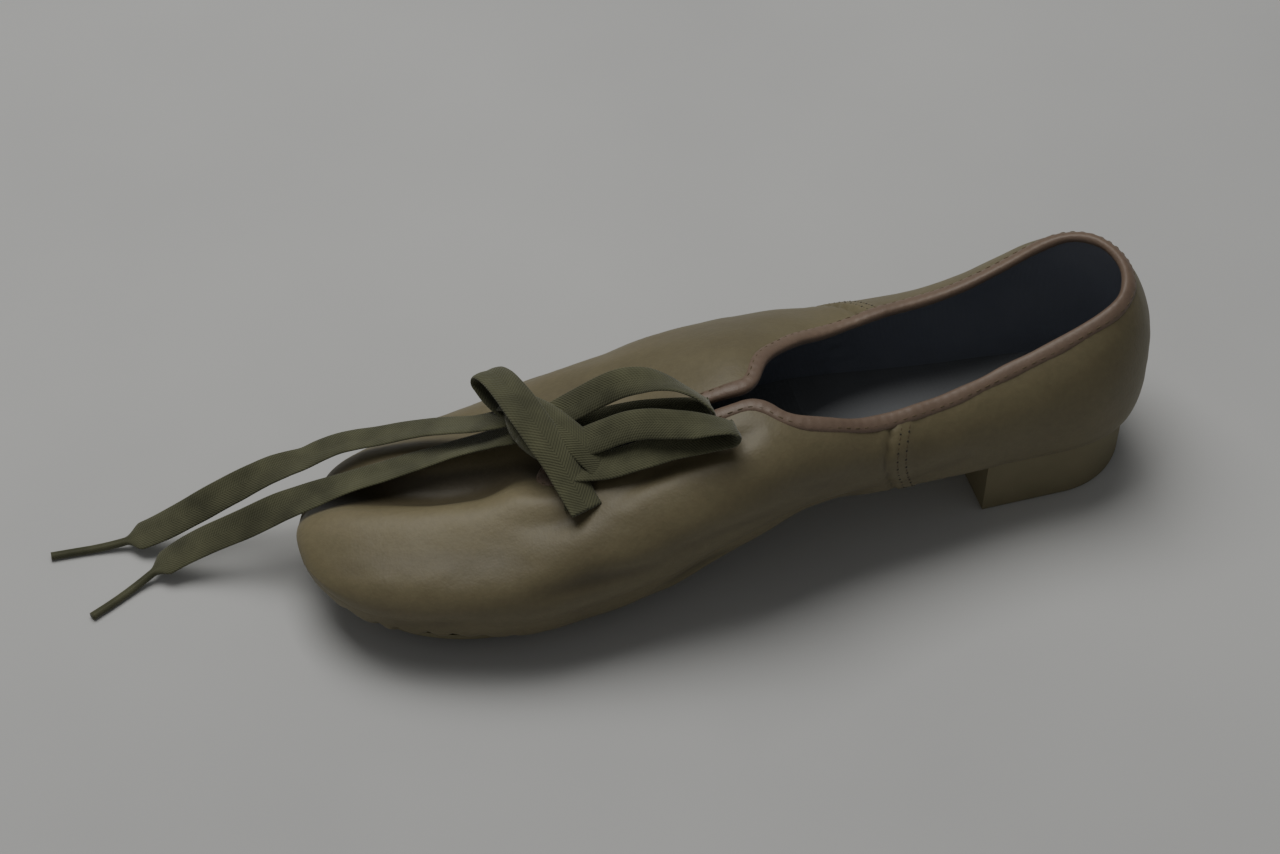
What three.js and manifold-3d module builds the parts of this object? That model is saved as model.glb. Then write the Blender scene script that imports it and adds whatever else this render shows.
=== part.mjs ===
// A right-foot jazz shoe in soft leather with a split sole, unworn and slack, standing on its heel and forefoot.
// Millimetres. +X runs from heel to toe, +Y to the inner side of the foot, +Z up. The origin is on the floor,
// under the middle of the shoe.
import * as THREE from 'three';
import { mergeVertices } from 'three/addons/utils/BufferGeometryUtils.js';
import Module from 'manifold-3d';

const wasm = await Module();
wasm.setup();

// Main sizes
const length = 246;
const ballWidth = 82;
const heelWidth = 61;
const instepHeight = 60;
const backHeight = 66;
const archHeight = 18.5;
const toeSpring = 9;
const wall = 1.5;
const clearance = 0.3;

// Heel block
const heelHeight = 15;
const heelLength = 50;
const heelBlockWidth = 50;
const heelInset = 3.5;

// Forefoot sole
const patchThickness = 2.2;
const patchLength = 83;
const patchWidth = 60;
const patchCentre = 190;

// Opening, binding and eyelets
const collarFront = 122;
const throatFront = 181;
const throatWidth = 8;
const crownRise = 3.6;
const bindingWidth = 2.6;
const eyeletBore = 4.5;
const eyeletInset = 7;
const eyeletBack = 7;

// Insole
const insoleThickness = 2;
const insoleReach = 0.36;
const insoleMargin = 2;
const lastingMargin = 9;

// Lace
const laceWidth = 8.5;
const laceThickness = 1.2;

// Where the rounded ends begin, as shares of the length, and how square each one is
const toeRound = { width: 0.67, top: 0.86, bottom: 0.89, power: 2.2 };
const heelRound = { width: 0.13, top: 0.085, bottom: 0.045, power: 2.2 };
const poleShare = 0.42;
const crownPower = 2.2;

// Sections along the foot. at: share of the length. shift: sideways, share of half the ball width.
// heelHalf, ballHalf: shares of half the heel and ball widths. heel, arch, patch, spring: shares of the
// heights of the heel seat, the arch, the forefoot sole and the toe spring, which lift the underside.
// back, instep: shares of those heights, which give the top line. crown: share of the crown rise above it.
// beam: how far up the widest line lies. flat: share of the half width that is flat underneath.
// lean: how far the ridge lies to the inner side, share of half the ball width.
const sections = [
  { at: 0.00, shift: 0.00, heelHalf: 1.00, ballHalf: 0.00, heel: 1.00, arch: 0.00, patch: 0.00, spring: 0.00,
    back: 1.00, instep: 0.00, crown: 1.50, beam: 0.34, flat: 0.50, lean: 0.00 },
  { at: 0.05, shift: 0.00, heelHalf: 1.00, ballHalf: 0.00, heel: 1.00, arch: 0.00, patch: 0.00, spring: 0.00,
    back: 0.97, instep: 0.00, crown: 1.50, beam: 0.34, flat: 0.50, lean: 0.00 },
  { at: 0.12, shift: 0.00, heelHalf: 1.00, ballHalf: 0.00, heel: 1.00, arch: 0.00, patch: 0.00, spring: 0.00,
    back: 0.89, instep: 0.00, crown: 1.30, beam: 0.36, flat: 0.50, lean: 0.02 },
  { at: 0.20, shift: -0.01, heelHalf: 0.96, ballHalf: 0.04, heel: 0.88, arch: 0.12, patch: 0.00, spring: 0.00,
    back: 0.60, instep: 0.22, crown: 1.10, beam: 0.37, flat: 0.42, lean: 0.08 },
  { at: 0.30, shift: -0.03, heelHalf: 0.62, ballHalf: 0.34, heel: 0.20, arch: 0.80, patch: 0.00, spring: 0.00,
    back: 0.20, instep: 0.61, crown: 1.00, beam: 0.36, flat: 0.30, lean: 0.19 },
  { at: 0.40, shift: -0.05, heelHalf: 0.18, ballHalf: 0.71, heel: 0.00, arch: 1.00, patch: 0.10, spring: 0.00,
    back: 0.00, instep: 0.87, crown: 0.75, beam: 0.36, flat: 0.30, lean: 0.31 },
  { at: 0.46, shift: -0.05, heelHalf: 0.00, ballHalf: 0.88, heel: 0.00, arch: 0.84, patch: 0.35, spring: 0.00,
    back: 0.00, instep: 0.955, crown: 0.40, beam: 0.36, flat: 0.32, lean: 0.38 },
  { at: 0.50, shift: -0.04, heelHalf: 0.00, ballHalf: 0.91, heel: 0.00, arch: 0.66, patch: 0.60, spring: 0.00,
    back: 0.00, instep: 1.00, crown: 0.00, beam: 0.36, flat: 0.36, lean: 0.41 },
  { at: 0.56, shift: -0.03, heelHalf: 0.00, ballHalf: 0.95, heel: 0.00, arch: 0.32, patch: 0.88, spring: 0.00,
    back: 0.00, instep: 0.95, crown: 0.00, beam: 0.38, flat: 0.42, lean: 0.39 },
  { at: 0.62, shift: 0.00, heelHalf: 0.00, ballHalf: 0.985, heel: 0.00, arch: 0.05, patch: 1.00, spring: 0.00,
    back: 0.00, instep: 0.86, crown: 0.00, beam: 0.39, flat: 0.50, lean: 0.34 },
  { at: 0.70, shift: 0.04, heelHalf: 0.00, ballHalf: 1.00, heel: 0.00, arch: 0.00, patch: 1.00, spring: 0.00,
    back: 0.00, instep: 0.74, crown: 0.00, beam: 0.41, flat: 0.54, lean: 0.27 },
  { at: 0.77, shift: 0.08, heelHalf: 0.00, ballHalf: 1.00, heel: 0.00, arch: 0.00, patch: 1.00, spring: 0.00,
    back: 0.00, instep: 0.655, crown: 0.00, beam: 0.43, flat: 0.54, lean: 0.22 },
  { at: 0.84, shift: 0.09, heelHalf: 0.00, ballHalf: 1.00, heel: 0.00, arch: 0.00, patch: 1.00, spring: 0.16,
    back: 0.00, instep: 0.60, crown: 0.00, beam: 0.45, flat: 0.54, lean: 0.18 },
  { at: 0.92, shift: 0.09, heelHalf: 0.00, ballHalf: 1.00, heel: 0.00, arch: 0.00, patch: 1.00, spring: 0.50,
    back: 0.00, instep: 0.55, crown: 0.00, beam: 0.46, flat: 0.50, lean: 0.12 },
  { at: 1.00, shift: 0.09, heelHalf: 0.00, ballHalf: 1.00, heel: 0.00, arch: 0.00, patch: 1.00, spring: 1.05,
    back: 0.00, instep: 0.50, crown: 0.00, beam: 0.46, flat: 0.50, lean: 0.10 },
];

// Soft troughs in the slack vamp. at, long: shares of the length. side, wide: shares of half the ball width.
// deep: share of the instep height.
const dents = [
  { at: 0.850, side: 0.30, long: 0.110, wide: 0.24, deep: 0.085 },
  { at: 0.800, side: -0.12, long: 0.120, wide: 0.60, deep: 0.040 },
  { at: 0.640, side: 0.55, long: 0.080, wide: 0.26, deep: 0.035 },
];

// Slack gap between the two facings. at: share of the throat from collar to toe. gap: share of its width.
const throatGap = [
  { at: 0.00, gap: 0.80 },
  { at: 0.30, gap: 0.90 },
  { at: 0.70, gap: 1.15 },
  { at: 1.00, gap: 1.00 },
];

// Value of one column at a place, on a smooth curve through the rows that never overshoots them
function readColumn(rows, column, at) {
  const last = rows.length - 1;
  let k = 0;
  while (k < last - 1 && at > rows[k + 1].at) k += 1;
  const step = (i) => rows[i + 1].at - rows[i].at;
  const rise = (i) => (rows[i + 1][column] - rows[i][column]) / step(i);
  const slope = (i) => {
    if (i === 0) return rise(0);
    if (i === last) return rise(last - 1);
    const product = rise(i - 1) * rise(i);
    return product > 0 ? (2 * product) / (rise(i - 1) + rise(i)) : 0;
  };
  const t = Math.min(1, Math.max(0, (at - rows[k].at) / step(k)));
  const from = rows[k][column];
  const to = rows[k + 1][column];
  return from + (to - from) * t * t * (3 - 2 * t)
    + step(k) * (slope(k) * t * (1 - t) * (1 - t) - slope(k + 1) * t * t * (1 - t));
}

// Share of a size that is left near a rounded end: 1 where the rounding begins, 0 at the end
function roundEnd(at, begins, ends, power) {
  const t = Math.min(1, Math.max(0, (at - begins) / (ends - begins)));
  return (1 - t ** power) ** (1 / power);
}

// All the sizes of one section of the last
function sectionAt(x) {
  const at = Math.min(1, Math.max(0, x / length));
  const row = (column) => readColumn(sections, column, at);
  const toeEnd = (part) => roundEnd(at, toeRound[part], 1, toeRound.power);
  const heelEnd = (part) => roundEnd(at, heelRound[part], 0, heelRound.power);
  const half = row('heelHalf') * heelWidth / 2 + row('ballHalf') * ballWidth / 2;
  const under = row('heel') * (heelHeight + clearance) + row('arch') * archHeight
    + row('patch') * (patchThickness + clearance) + row('spring') * toeSpring;
  const top = row('back') * backHeight + row('instep') * instepHeight;
  const ridge = top + row('crown') * crownRise;
  const pole = under + poleShare * (ridge - under);
  const bottomLeft = toeEnd('bottom') * heelEnd('bottom');
  const topLeft = toeEnd('top') * heelEnd('top');
  return {
    middle: row('shift') * ballWidth / 2,
    half: half * toeEnd('width') * heelEnd('width'),
    under: pole + (under - pole) * bottomLeft,
    beam: pole + (under + row('beam') * (top - under) - pole) * Math.min(bottomLeft, topLeft),
    ridge: pole + (ridge - pole) * topLeft,
    top,
    flat: row('flat'),
    lean: row('lean') * ballWidth / 2,
  };
}

// How deep the troughs are at a place on the top of the vamp
function dentAt(x, y) {
  return dents.reduce((sum, dent) => {
    const along = (x - dent.at * length) / (dent.long * length);
    const across = (y - dent.side * ballWidth / 2) / (dent.wide * ballWidth / 2);
    return sum + dent.deep * instepHeight * Math.exp(-along * along - across * across);
  }, 0);
}

// Point on the last: v runs round the section, 0 under the middle, a quarter on the inner side, a half on top
const lowerShare = 0.56;
const flatShare = 0.2;
function lastPoint(x, v) {
  const s = sectionAt(x);
  const side = v < 0.5 ? 1 : -1;
  const q = (v < 0.5 ? v : 1 - v) * 2;
  if (q <= lowerShare) {
    const flatWalk = Math.min(1, q / (flatShare * lowerShare));
    const turn = Math.max(0, (q / lowerShare - flatShare) / (1 - flatShare)) * Math.PI / 2;
    const out = s.flat * flatWalk + (1 - s.flat) * Math.sin(turn);
    const up = s.under + (s.beam - s.under) * (1 - Math.cos(turn));
    return new THREE.Vector3(x, s.middle + side * out * s.half, up);
  }
  const turn = ((q - lowerShare) / (1 - lowerShare)) * Math.PI / 2;
  const out = Math.max(0, Math.cos(turn)) ** (2 / crownPower);
  const rise = Math.sin(turn) ** (2 / crownPower);
  const y = s.middle + side * out * s.half + s.lean * rise;
  return new THREE.Vector3(x, y, s.beam + (s.ridge - s.beam) * rise - dentAt(x, y) * rise ** 2);
}

// Height of the last's underside and of its top at a place seen from above
function undersideAt(x, y) {
  const s = sectionAt(x);
  const out = Math.min(1, Math.abs(y - s.middle) / s.half);
  const turn = Math.asin(Math.max(0, (out - s.flat) / (1 - s.flat)));
  return s.under + (s.beam - s.under) * (1 - Math.cos(turn));
}
function topAt(x, y) {
  const s = sectionAt(x);
  let rise = 1;
  for (let i = 0; i < 20; i += 1) {
    const out = Math.min(1, Math.abs(y - s.middle - s.lean * rise) / s.half);
    rise = (1 - out ** crownPower) ** (1 / crownPower);
  }
  return s.beam + (s.ridge - s.beam) * rise - dentAt(x, y) * rise ** 2;
}

// Turns closed geometry into a solid, and a solid back into geometry
function toSolid(geometry) {
  const bare = geometry.clone();
  bare.deleteAttribute('normal');
  bare.deleteAttribute('uv');
  const merged = mergeVertices(bare, 1e-4);
  return new wasm.Manifold(new wasm.Mesh({
    numProp: 3,
    vertProperties: new Float32Array(merged.attributes.position.array),
    triVerts: new Uint32Array(merged.index.array),
  }));
}
function toGeometry(solid) {
  const mesh = solid.getMesh();
  const geometry = new THREE.BufferGeometry();
  geometry.setAttribute('position', new THREE.BufferAttribute(new Float32Array(mesh.vertProperties), 3));
  geometry.setIndex(Array.from(mesh.triVerts));
  return geometry;
}

// Closed surface from rings of points with one point at each end
function ringsGeometry(first, rings, last) {
  const around = rings[0].length;
  const points = [first, ...rings.flat(), last];
  const ringPoint = (r, k) => 1 + r * around + (k % around);
  const index = [];
  for (let k = 0; k < around; k += 1) {
    index.push(0, ringPoint(0, k + 1), ringPoint(0, k));
    index.push(points.length - 1, ringPoint(rings.length - 1, k), ringPoint(rings.length - 1, k + 1));
    for (let r = 0; r < rings.length - 1; r += 1) {
      index.push(ringPoint(r, k), ringPoint(r, k + 1), ringPoint(r + 1, k));
      index.push(ringPoint(r, k + 1), ringPoint(r + 1, k + 1), ringPoint(r + 1, k));
    }
  }
  const geometry = new THREE.BufferGeometry().setFromPoints(points);
  geometry.setIndex(index);
  return geometry;
}

// The whole last, grown outward by an offset along its normals
const stations = 34;
const aroundLast = 32;
function lastGeometry(offset) {
  const rings = [];
  for (let i = 1; i < stations; i += 1) {
    const x = length * (1 - Math.cos(Math.PI * i / stations)) / 2;
    rings.push(Array.from({ length: aroundLast }, (_, k) => lastPoint(x, k / aroundLast)));
  }
  const geometry = ringsGeometry(lastPoint(0, 0), rings, lastPoint(length, 0));
  geometry.computeVertexNormals();
  const { position, normal } = geometry.attributes;
  for (let i = 0; i < position.count; i += 1) {
    position.setXYZ(
      i,
      position.getX(i) + offset * normal.getX(i),
      position.getY(i) + offset * normal.getY(i),
      position.getZ(i) + offset * normal.getZ(i),
    );
  }
  return geometry;
}
const lastSolid = (offset) => toSolid(lastGeometry(offset));

// Side position of the ridge
function ridgeLine(x) {
  const s = sectionAt(x);
  return s.middle + s.lean;
}

// Half the gap between the facings at a place along the throat
function throatHalf(x) {
  const at = (x - collarFront) / (throatFront - collarFront);
  return readColumn(throatGap, 'gap', at) * throatWidth / 2;
}

// Solid of everything above the top line and between the facings, held back from the edge by a margin
const farAbove = 2 * backHeight;
function openingSolid(margin) {
  const side = new THREE.Shape();
  side.moveTo(-length, backHeight + margin);
  const steps = 24;
  for (let i = 0; i <= steps; i += 1) {
    const x = collarFront * i / steps;
    side.lineTo(x, sectionAt(x).top + margin);
  }
  side.lineTo(collarFront, farAbove);
  side.lineTo(-length, farAbove);
  const collar = new THREE.ExtrudeGeometry(side, { depth: 2 * ballWidth, bevelEnabled: false });
  collar.rotateX(Math.PI / 2);
  collar.translate(0, ballWidth, 0);

  const slit = new THREE.Shape();
  const back = collarFront - 2 * throatWidth;
  const slitSteps = 8;
  const front = throatFront - throatHalf(throatFront);
  slit.moveTo(back, ridgeLine(back) - throatHalf(back) + margin);
  for (let i = 1; i <= slitSteps; i += 1) {
    const x = back + (front - back) * i / slitSteps;
    slit.lineTo(x, ridgeLine(x) - throatHalf(x) + margin);
  }
  slit.absarc(front, ridgeLine(front), throatHalf(front) - margin, -Math.PI / 2, Math.PI / 2, false);
  for (let i = slitSteps; i >= 0; i -= 1) {
    const x = back + (front - back) * i / slitSteps;
    slit.lineTo(x, ridgeLine(x) + throatHalf(x) - margin);
  }
  const throat = new THREE.ExtrudeGeometry(slit, { depth: farAbove, bevelEnabled: false, curveSegments: 4 });
  throat.translate(0, 0, instepHeight / 2);
  return toSolid(collar).add(toSolid(throat));
}

// Outline of the forefoot sole seen from above, fuller on the inner side of its front
const patchSquareness = 2.5;
const patchLean = 0.12;
function patchOutline(angle, share) {
  const bend = (value) => Math.sign(value) * Math.abs(value) ** (2 / patchSquareness);
  const along = bend(Math.cos(angle)) * patchLength / 2 * share;
  const across = bend(Math.sin(angle)) * patchWidth / 2 * share;
  return [patchCentre + along, sectionAt(patchCentre).middle + across + patchLean * along];
}

// Flat piece that follows two surfaces: rings of its outline from the middle to the edge, below and above
function sheetGeometry(outline, lower, upper, rings, around) {
  const ring = (share, surface) => Array.from({ length: around }, (_, k) => {
    const [x, y] = outline(2 * Math.PI * k / around, share);
    return new THREE.Vector3(x, y, surface(x, y));
  });
  const shares = Array.from({ length: rings }, (_, i) => (i + 1) / rings);
  const [middleX, middleY] = outline(0, 0);
  return ringsGeometry(
    new THREE.Vector3(middleX, middleY, lower(middleX, middleY)),
    [...shares.map((s) => ring(s, lower)), ...shares.reverse().map((s) => ring(s, upper))],
    new THREE.Vector3(middleX, middleY, upper(middleX, middleY)),
  );
}

// The leather upper: outer form less inner form, open at collar and throat, under the forefoot and at the eyelets
function makeEyeletCutter(side) {
  const x = throatFront - eyeletBack;
  const y = ridgeLine(x) + side * (throatHalf(x) + eyeletInset);
  const cutter = new THREE.CylinderGeometry(eyeletBore / 2, eyeletBore / 2, instepHeight / 2, 12);
  cutter.rotateX(Math.PI / 2);
  cutter.translate(x, y, topAt(x, y));
  return toSolid(cutter);
}
function makeUpper() {
  const corners = 24;
  const share = 1 - 2 * lastingMargin / patchWidth;
  const corner = (_, k) => new THREE.Vector2(...patchOutline(2 * Math.PI * k / corners, share));
  const outline = Array.from({ length: corners }, corner);
  const lasting = new THREE.ExtrudeGeometry(new THREE.Shape(outline), { depth: heelHeight, bevelEnabled: false });
  lasting.translate(0, 0, -heelHeight / 2);
  return lastSolid(0)
    .subtract(lastSolid(-wall))
    .subtract(openingSolid(0))
    .subtract(toSolid(lasting))
    .subtract(makeEyeletCutter(1))
    .subtract(makeEyeletCutter(-1));
}

// The wall with a little more on every face, which keeps what touches it clear
function wallWithClearance() {
  return lastSolid(clearance).subtract(lastSolid(-wall - clearance)).subtract(openingSolid(clearance));
}

// Where the top line meets the back of the heel
function collarBack() {
  let low = 0;
  let high = heelRound.top * length;
  for (let i = 0; i < 30; i += 1) {
    const x = (low + high) / 2;
    const s = sectionAt(x);
    if (s.ridge < s.top) low = x;
    else high = x;
  }
  return high;
}

// Thin leather roll along the collar and both facings, sitting on the cut edge
const bindingSteps = 84;
function makeBinding() {
  const radius = bindingWidth / 2;
  const seat = radius + clearance;
  const back = collarBack();
  const front = throatFront - throatHalf(throatFront);
  const slitBack = collarFront - 2 * throatWidth;
  const place = (x, side) => {
    const s = sectionAt(x);
    const rise = Math.min(1, (s.top - s.beam) / (s.ridge - s.beam));
    const collarHalf = x < collarFront ? s.half * (1 - rise ** crownPower) ** (1 / crownPower) : 0;
    const slit = x > slitBack ? throatHalf(x) : 0;
    const onCollar = slit > 0 ? Math.min(1, Math.max(0, (collarHalf - slit) / (2 * slit))) : 1;
    const y = s.middle + s.lean * rise + side * Math.max(collarHalf, slit);
    const inward = (wall / 2) * onCollar + seat * (1 - onCollar);
    const z = onCollar > 0 ? s.top + seat * onCollar : topAt(x, y) - wall / 2;
    return { x, y, z: Math.min(z, s.top + seat), inward };
  };
  const half = 20;
  const walk = (i) => back + (front - back) * (1 - Math.cos(Math.PI * (i + 0.5) / half)) / 2;
  const places = [{ ...place(back, 1), y: sectionAt(back).middle }];
  for (let i = 0; i < half; i += 1) places.push(place(walk(i), 1));
  const tipY = ridgeLine(throatFront);
  places.push({ x: throatFront, y: tipY, z: topAt(throatFront, tipY) - wall / 2, inward: seat });
  for (let i = half - 1; i >= 0; i -= 1) places.push(place(walk(i), -1));
  const points = places.map((spot, i) => {
    const before = places[(i + places.length - 1) % places.length];
    const after = places[(i + 1) % places.length];
    const along = new THREE.Vector2(after.x - before.x, after.y - before.y).normalize();
    return new THREE.Vector3(spot.x + along.y * spot.inward, spot.y - along.x * spot.inward, spot.z);
  });
  const path = new THREE.CatmullRomCurve3(points, true, 'centripetal');
  const section = new THREE.Shape(Array.from({ length: 8 }, (_, k) => new THREE.Vector2(
    radius * Math.cos(2 * Math.PI * k / 8),
    radius * Math.sin(2 * Math.PI * k / 8),
  )));
  const tube = new THREE.ExtrudeGeometry(section, { steps: bindingSteps, bevelEnabled: false, extrudePath: path });
  return toSolid(tube).subtract(wallWithClearance());
}

// Inner sock on the bottom of the hollow: sections from heel to toe, cut to the inside of the wall
const insoleRoundness = 0.45;
function makeInsole() {
  const back = heelRound.bottom * length + insoleMargin;
  const front = length - 3 * insoleMargin - wall;
  const rows = 26;
  const across = 8;
  const top = (x, y) => undersideAt(x, y) + wall + clearance + insoleThickness;
  const rings = [];
  for (let i = 1; i < rows; i += 1) {
    const turn = Math.PI * i / rows;
    const x = (back + front) / 2 - (front - back) / 2 * Math.cos(turn);
    const s = sectionAt(x);
    const reach = (s.flat + insoleReach * (1 - s.flat)) * s.half - insoleMargin;
    const half = reach * Math.sin(turn) ** insoleRoundness;
    const above = Array.from({ length: across + 1 }, (_, k) => {
      const y = s.middle + half * (2 * k / across - 1);
      return new THREE.Vector3(x, y, top(x, y));
    });
    const below = above.map((point) => new THREE.Vector3(point.x, point.y, point.z - insoleThickness - wall));
    rings.push([...below, ...above.reverse()]);
  }
  const end = (x) => new THREE.Vector3(x, sectionAt(x).middle, top(x, sectionAt(x).middle) - insoleThickness / 2);
  return toSolid(ringsGeometry(end(back), rings, end(front))).intersect(lastSolid(-wall - clearance));
}

// Rubber forefoot sole under the ball
function makeForefootSole() {
  const bottom = (x, y) => undersideAt(x, y) - clearance - patchThickness;
  const slab = sheetGeometry(patchOutline, bottom, (x, y) => bottom(x, y) + 2 * patchThickness, 5, 36);
  return toSolid(slab).subtract(lastSolid(clearance));
}

// Heel block: round at the back, straight breast in front, hollowed on top to take the heel seat
function makeHeel() {
  const half = heelBlockWidth / 2;
  const outline = new THREE.Shape();
  const breast = heelInset + heelLength;
  outline.moveTo(breast, -half);
  outline.lineTo(breast, half);
  outline.lineTo(heelInset + half, half);
  outline.absarc(heelInset + half, 0, half, Math.PI / 2, 3 * Math.PI / 2, false);
  const depth = heelHeight + wall + archHeight / 3;
  const block = new THREE.ExtrudeGeometry(outline, { depth, bevelEnabled: false, curveSegments: 24 });
  return toSolid(block).subtract(lastSolid(clearance));
}

// Flat woven lace: a path with the lean of its width at each point, in degrees that its side edge hangs down
class LaceCurve extends THREE.CatmullRomCurve3 {
  constructor(rows, side) {
    super(rows.map(([x, y, z]) => new THREE.Vector3(x, y + sectionAt(x).lean, z)), false, 'centripetal');
    this.leans = rows.map((row) => THREE.MathUtils.degToRad(row[3]));
    this.side = side;
  }

  computeFrenetFrames(segments) {
    const frames = { tangents: [], normals: [], binormals: [] };
    for (let i = 0; i <= segments; i += 1) {
      const tangent = this.getTangentAt(i / segments);
      const place = this.getUtoTmapping(i / segments) * (this.leans.length - 1);
      const k = Math.min(this.leans.length - 2, Math.floor(place));
      const lean = THREE.MathUtils.lerp(this.leans[k], this.leans[k + 1], place - k);
      const width = this.side.clone().multiplyScalar(Math.cos(lean));
      width.z = -Math.sin(lean);
      width.addScaledVector(tangent, -width.dot(tangent)).normalize();
      frames.tangents.push(tangent);
      frames.normals.push(width);
      frames.binormals.push(new THREE.Vector3().crossVectors(tangent, width));
    }
    return frames;
  }
}
const innerSide = new THREE.Vector3(0, 1, 0);
const toeSide = new THREE.Vector3(1, 0, 0);
function makeLace(rows, steps, side = innerSide) {
  const half = laceWidth / 2;
  const thick = laceThickness / 2;
  const edge = half - thick;
  const section = new THREE.Shape([
    [half, 0], [edge, thick], [0, 1.1 * thick], [-edge, thick], [-half, 0], [-edge, -thick], [0, -1.1 * thick],
    [edge, -thick],
  ].map(([x, y]) => new THREE.Vector2(x, y)));
  return new THREE.ExtrudeGeometry(section, { steps, bevelEnabled: false, extrudePath: new LaceCurve(rows, side) });
}

// Routes of the lace, chosen by hand: x, y from where the ridge would lie without its lean, z, and the lean of
// its width
const farLoop = [
  [175.5, -9.5, 50.5, 10], [171.7, -10.0, 52.3, 18], [167.1, -9.6, 55.8, 24], [161.7, -9.4, 59.6, 26],
  [156.2, -9.1, 62.6, 20], [150.9, -7.6, 64.6, 4], [147.4, -6.0, 65.3, -10], [144.0, -4.1, 65.4, -20],
  [141.0, -2.1, 64.9, -26], [138.2, 0.0, 63.9, -26], [136.0, 1.6, 62.3, -18], [135.4, 2.0, 60.6, -8],
  [137.0, 1.4, 59.3, 0], [141.0, -0.6, 58.2, 4], [146.0, -2.4, 56.9, 4], [152.0, -3.9, 55.2, 3],
  [158.0, -5.2, 53.2, 2], [164.0, -6.4, 50.9, 0], [169.0, -7.3, 49.3, 0], [173.5, -7.9, 48.7, 0],
];
const nearLoop = [
  [174.5, 2.6, 50.6, 10], [171.0, 2.2, 51.8, 16], [168.2, 2.2, 53.2, 22], [163.8, 2.9, 56.0, 28],
  [158.3, 3.5, 58.8, 30], [153.8, 4.9, 60.8, 28], [149.3, 6.9, 62.3, 22], [145.6, 8.3, 63.1, 14],
  [142.1, 9.6, 63.7, 4], [139.0, 10.6, 64.1, -6], [136.2, 11.6, 64.3, -14], [133.6, 12.3, 64.1, -18],
  [131.9, 12.7, 63.1, -12], [132.6, 12.6, 61.6, 0], [135.6, 11.9, 60.4, 10], [140.1, 10.8, 59.0, 14],
  [145.0, 10.1, 57.4, 16], [150.0, 9.6, 55.6, 16], [155.0, 9.3, 53.6, 14], [160.1, 9.0, 51.6, 12],
  [165.0, 8.7, 50.0, 10], [169.5, 8.2, 49.1, 8], [173.5, 7.8, 48.8, 6],
];
const farEnd = [
  [183.0, -14.2, 49.3, -8], [186.5, -14.5, 47.6, -16], [190.0, -15.4, 45.7, -22],
  [194.5, -17.1, 43.4, -23], [199.5, -19.7, 41.0, -22], [205.0, -22.4, 38.5, -20],
  [211.5, -24.2, 36.1, -16], [218.6, -25.1, 34.0, -12], [224.5, -25.9, 32.7, -10],
  [229.5, -26.4, 31.6, -9], [234.5, -26.1, 30.4, -7], [239.4, -25.6, 28.9, -4], [244.0, -26.4, 27.0, 4],
  [248.7, -27.5, 24.6, 14], [253.6, -28.2, 21.9, 24], [258.6, -28.7, 19.1, 31],
  [263.6, -29.2, 16.2, 35], [268.6, -29.5, 13.3, 34], [273.5, -29.8, 10.5, 28], [278.5, -30.1, 7.8, 20],
  [283.5, -30.7, 5.3, 12], [288.3, -31.5, 3.2, 6], [293.4, -32.1, 1.9, 2], [299.0, -32.6, 1.2, 0],
  [305.0, -33.0, 1.1, 0], [311.0, -33.3, 1.1, 0],
];
const nearEnd = [
  [181.5, -9.3, 47.9, -6], [185.0, -9.7, 46.0, -14], [188.4, -10.9, 43.9, -20],
  [192.5, -12.3, 41.3, -22], [196.8, -13.5, 38.9, -22], [201.0, -14.4, 36.9, -20],
  [207.0, -14.7, 34.8, -16], [213.6, -14.4, 33.2, -12], [220.0, -13.6, 32.0, -10],
  [226.8, -13.2, 30.9, -8], [232.6, -13.3, 29.4, -4], [238.4, -13.7, 27.4, 4], [243.6, -14.6, 24.9, 14],
  [248.6, -15.7, 22.2, 25], [253.4, -16.4, 19.6, 33], [258.0, -17.0, 17.1, 37],
  [263.0, -17.9, 14.4, 36], [268.0, -18.8, 11.7, 30], [272.3, -19.4, 9.3, 22], [276.5, -19.7, 7.0, 13],
  [281.0, -19.3, 4.8, 6], [285.4, -18.1, 2.9, 2], [289.5, -16.4, 1.7, 0], [294.0, -14.1, 1.2, 0],
  [299.0, -11.5, 1.1, 0], [304.0, -9.1, 1.1, 0],
];

// Bar of lace across the facings at the front eyelets
const barHeight = 0.8;
const barPlace = throatFront - eyeletBack;
function barTop(y) {
  const rest = Math.max(topAt(barPlace - laceWidth / 2, y), topAt(barPlace + laceWidth / 2, y));
  return rest + barHeight + 1.1 * laceThickness;
}
function makeLaceBar() {
  const reach = throatHalf(barPlace) + eyeletInset + laceWidth / 3;
  const steps = 8;
  const rows = Array.from({ length: steps + 1 }, (_, i) => {
    const y = ridgeLine(barPlace) + reach * (1 - 2 * i / steps);
    return [barPlace, y - sectionAt(barPlace).lean, barTop(y) - 0.55 * laceThickness, 0];
  });
  return makeLace(rows, 12, toeSide);
}

// Knot: a flattened round of wraps that sits on the bar
const knot = { forward: 5, aside: -7.6, long: 8.5, wide: 16, high: 4.6, turn: 20 };
function makeKnot(grown) {
  const ball = new THREE.SphereGeometry(1, 16, 10);
  ball.rotateX(Math.PI / 2);
  ball.scale(knot.long + grown, knot.wide + grown, knot.high + grown);
  ball.rotateZ(THREE.MathUtils.degToRad(knot.turn));
  const y = ridgeLine(barPlace);
  ball.translate(barPlace + knot.forward, y + knot.aside, barTop(y) + clearance + knot.high);
  return toSolid(ball);
}

// A loop or end of the lace, cut off where it comes out of the knot
const knotGap = 0.05;
function makeTied(rows, steps) {
  return toSolid(makeLace(rows, steps)).subtract(makeKnot(knotGap));
}

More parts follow.
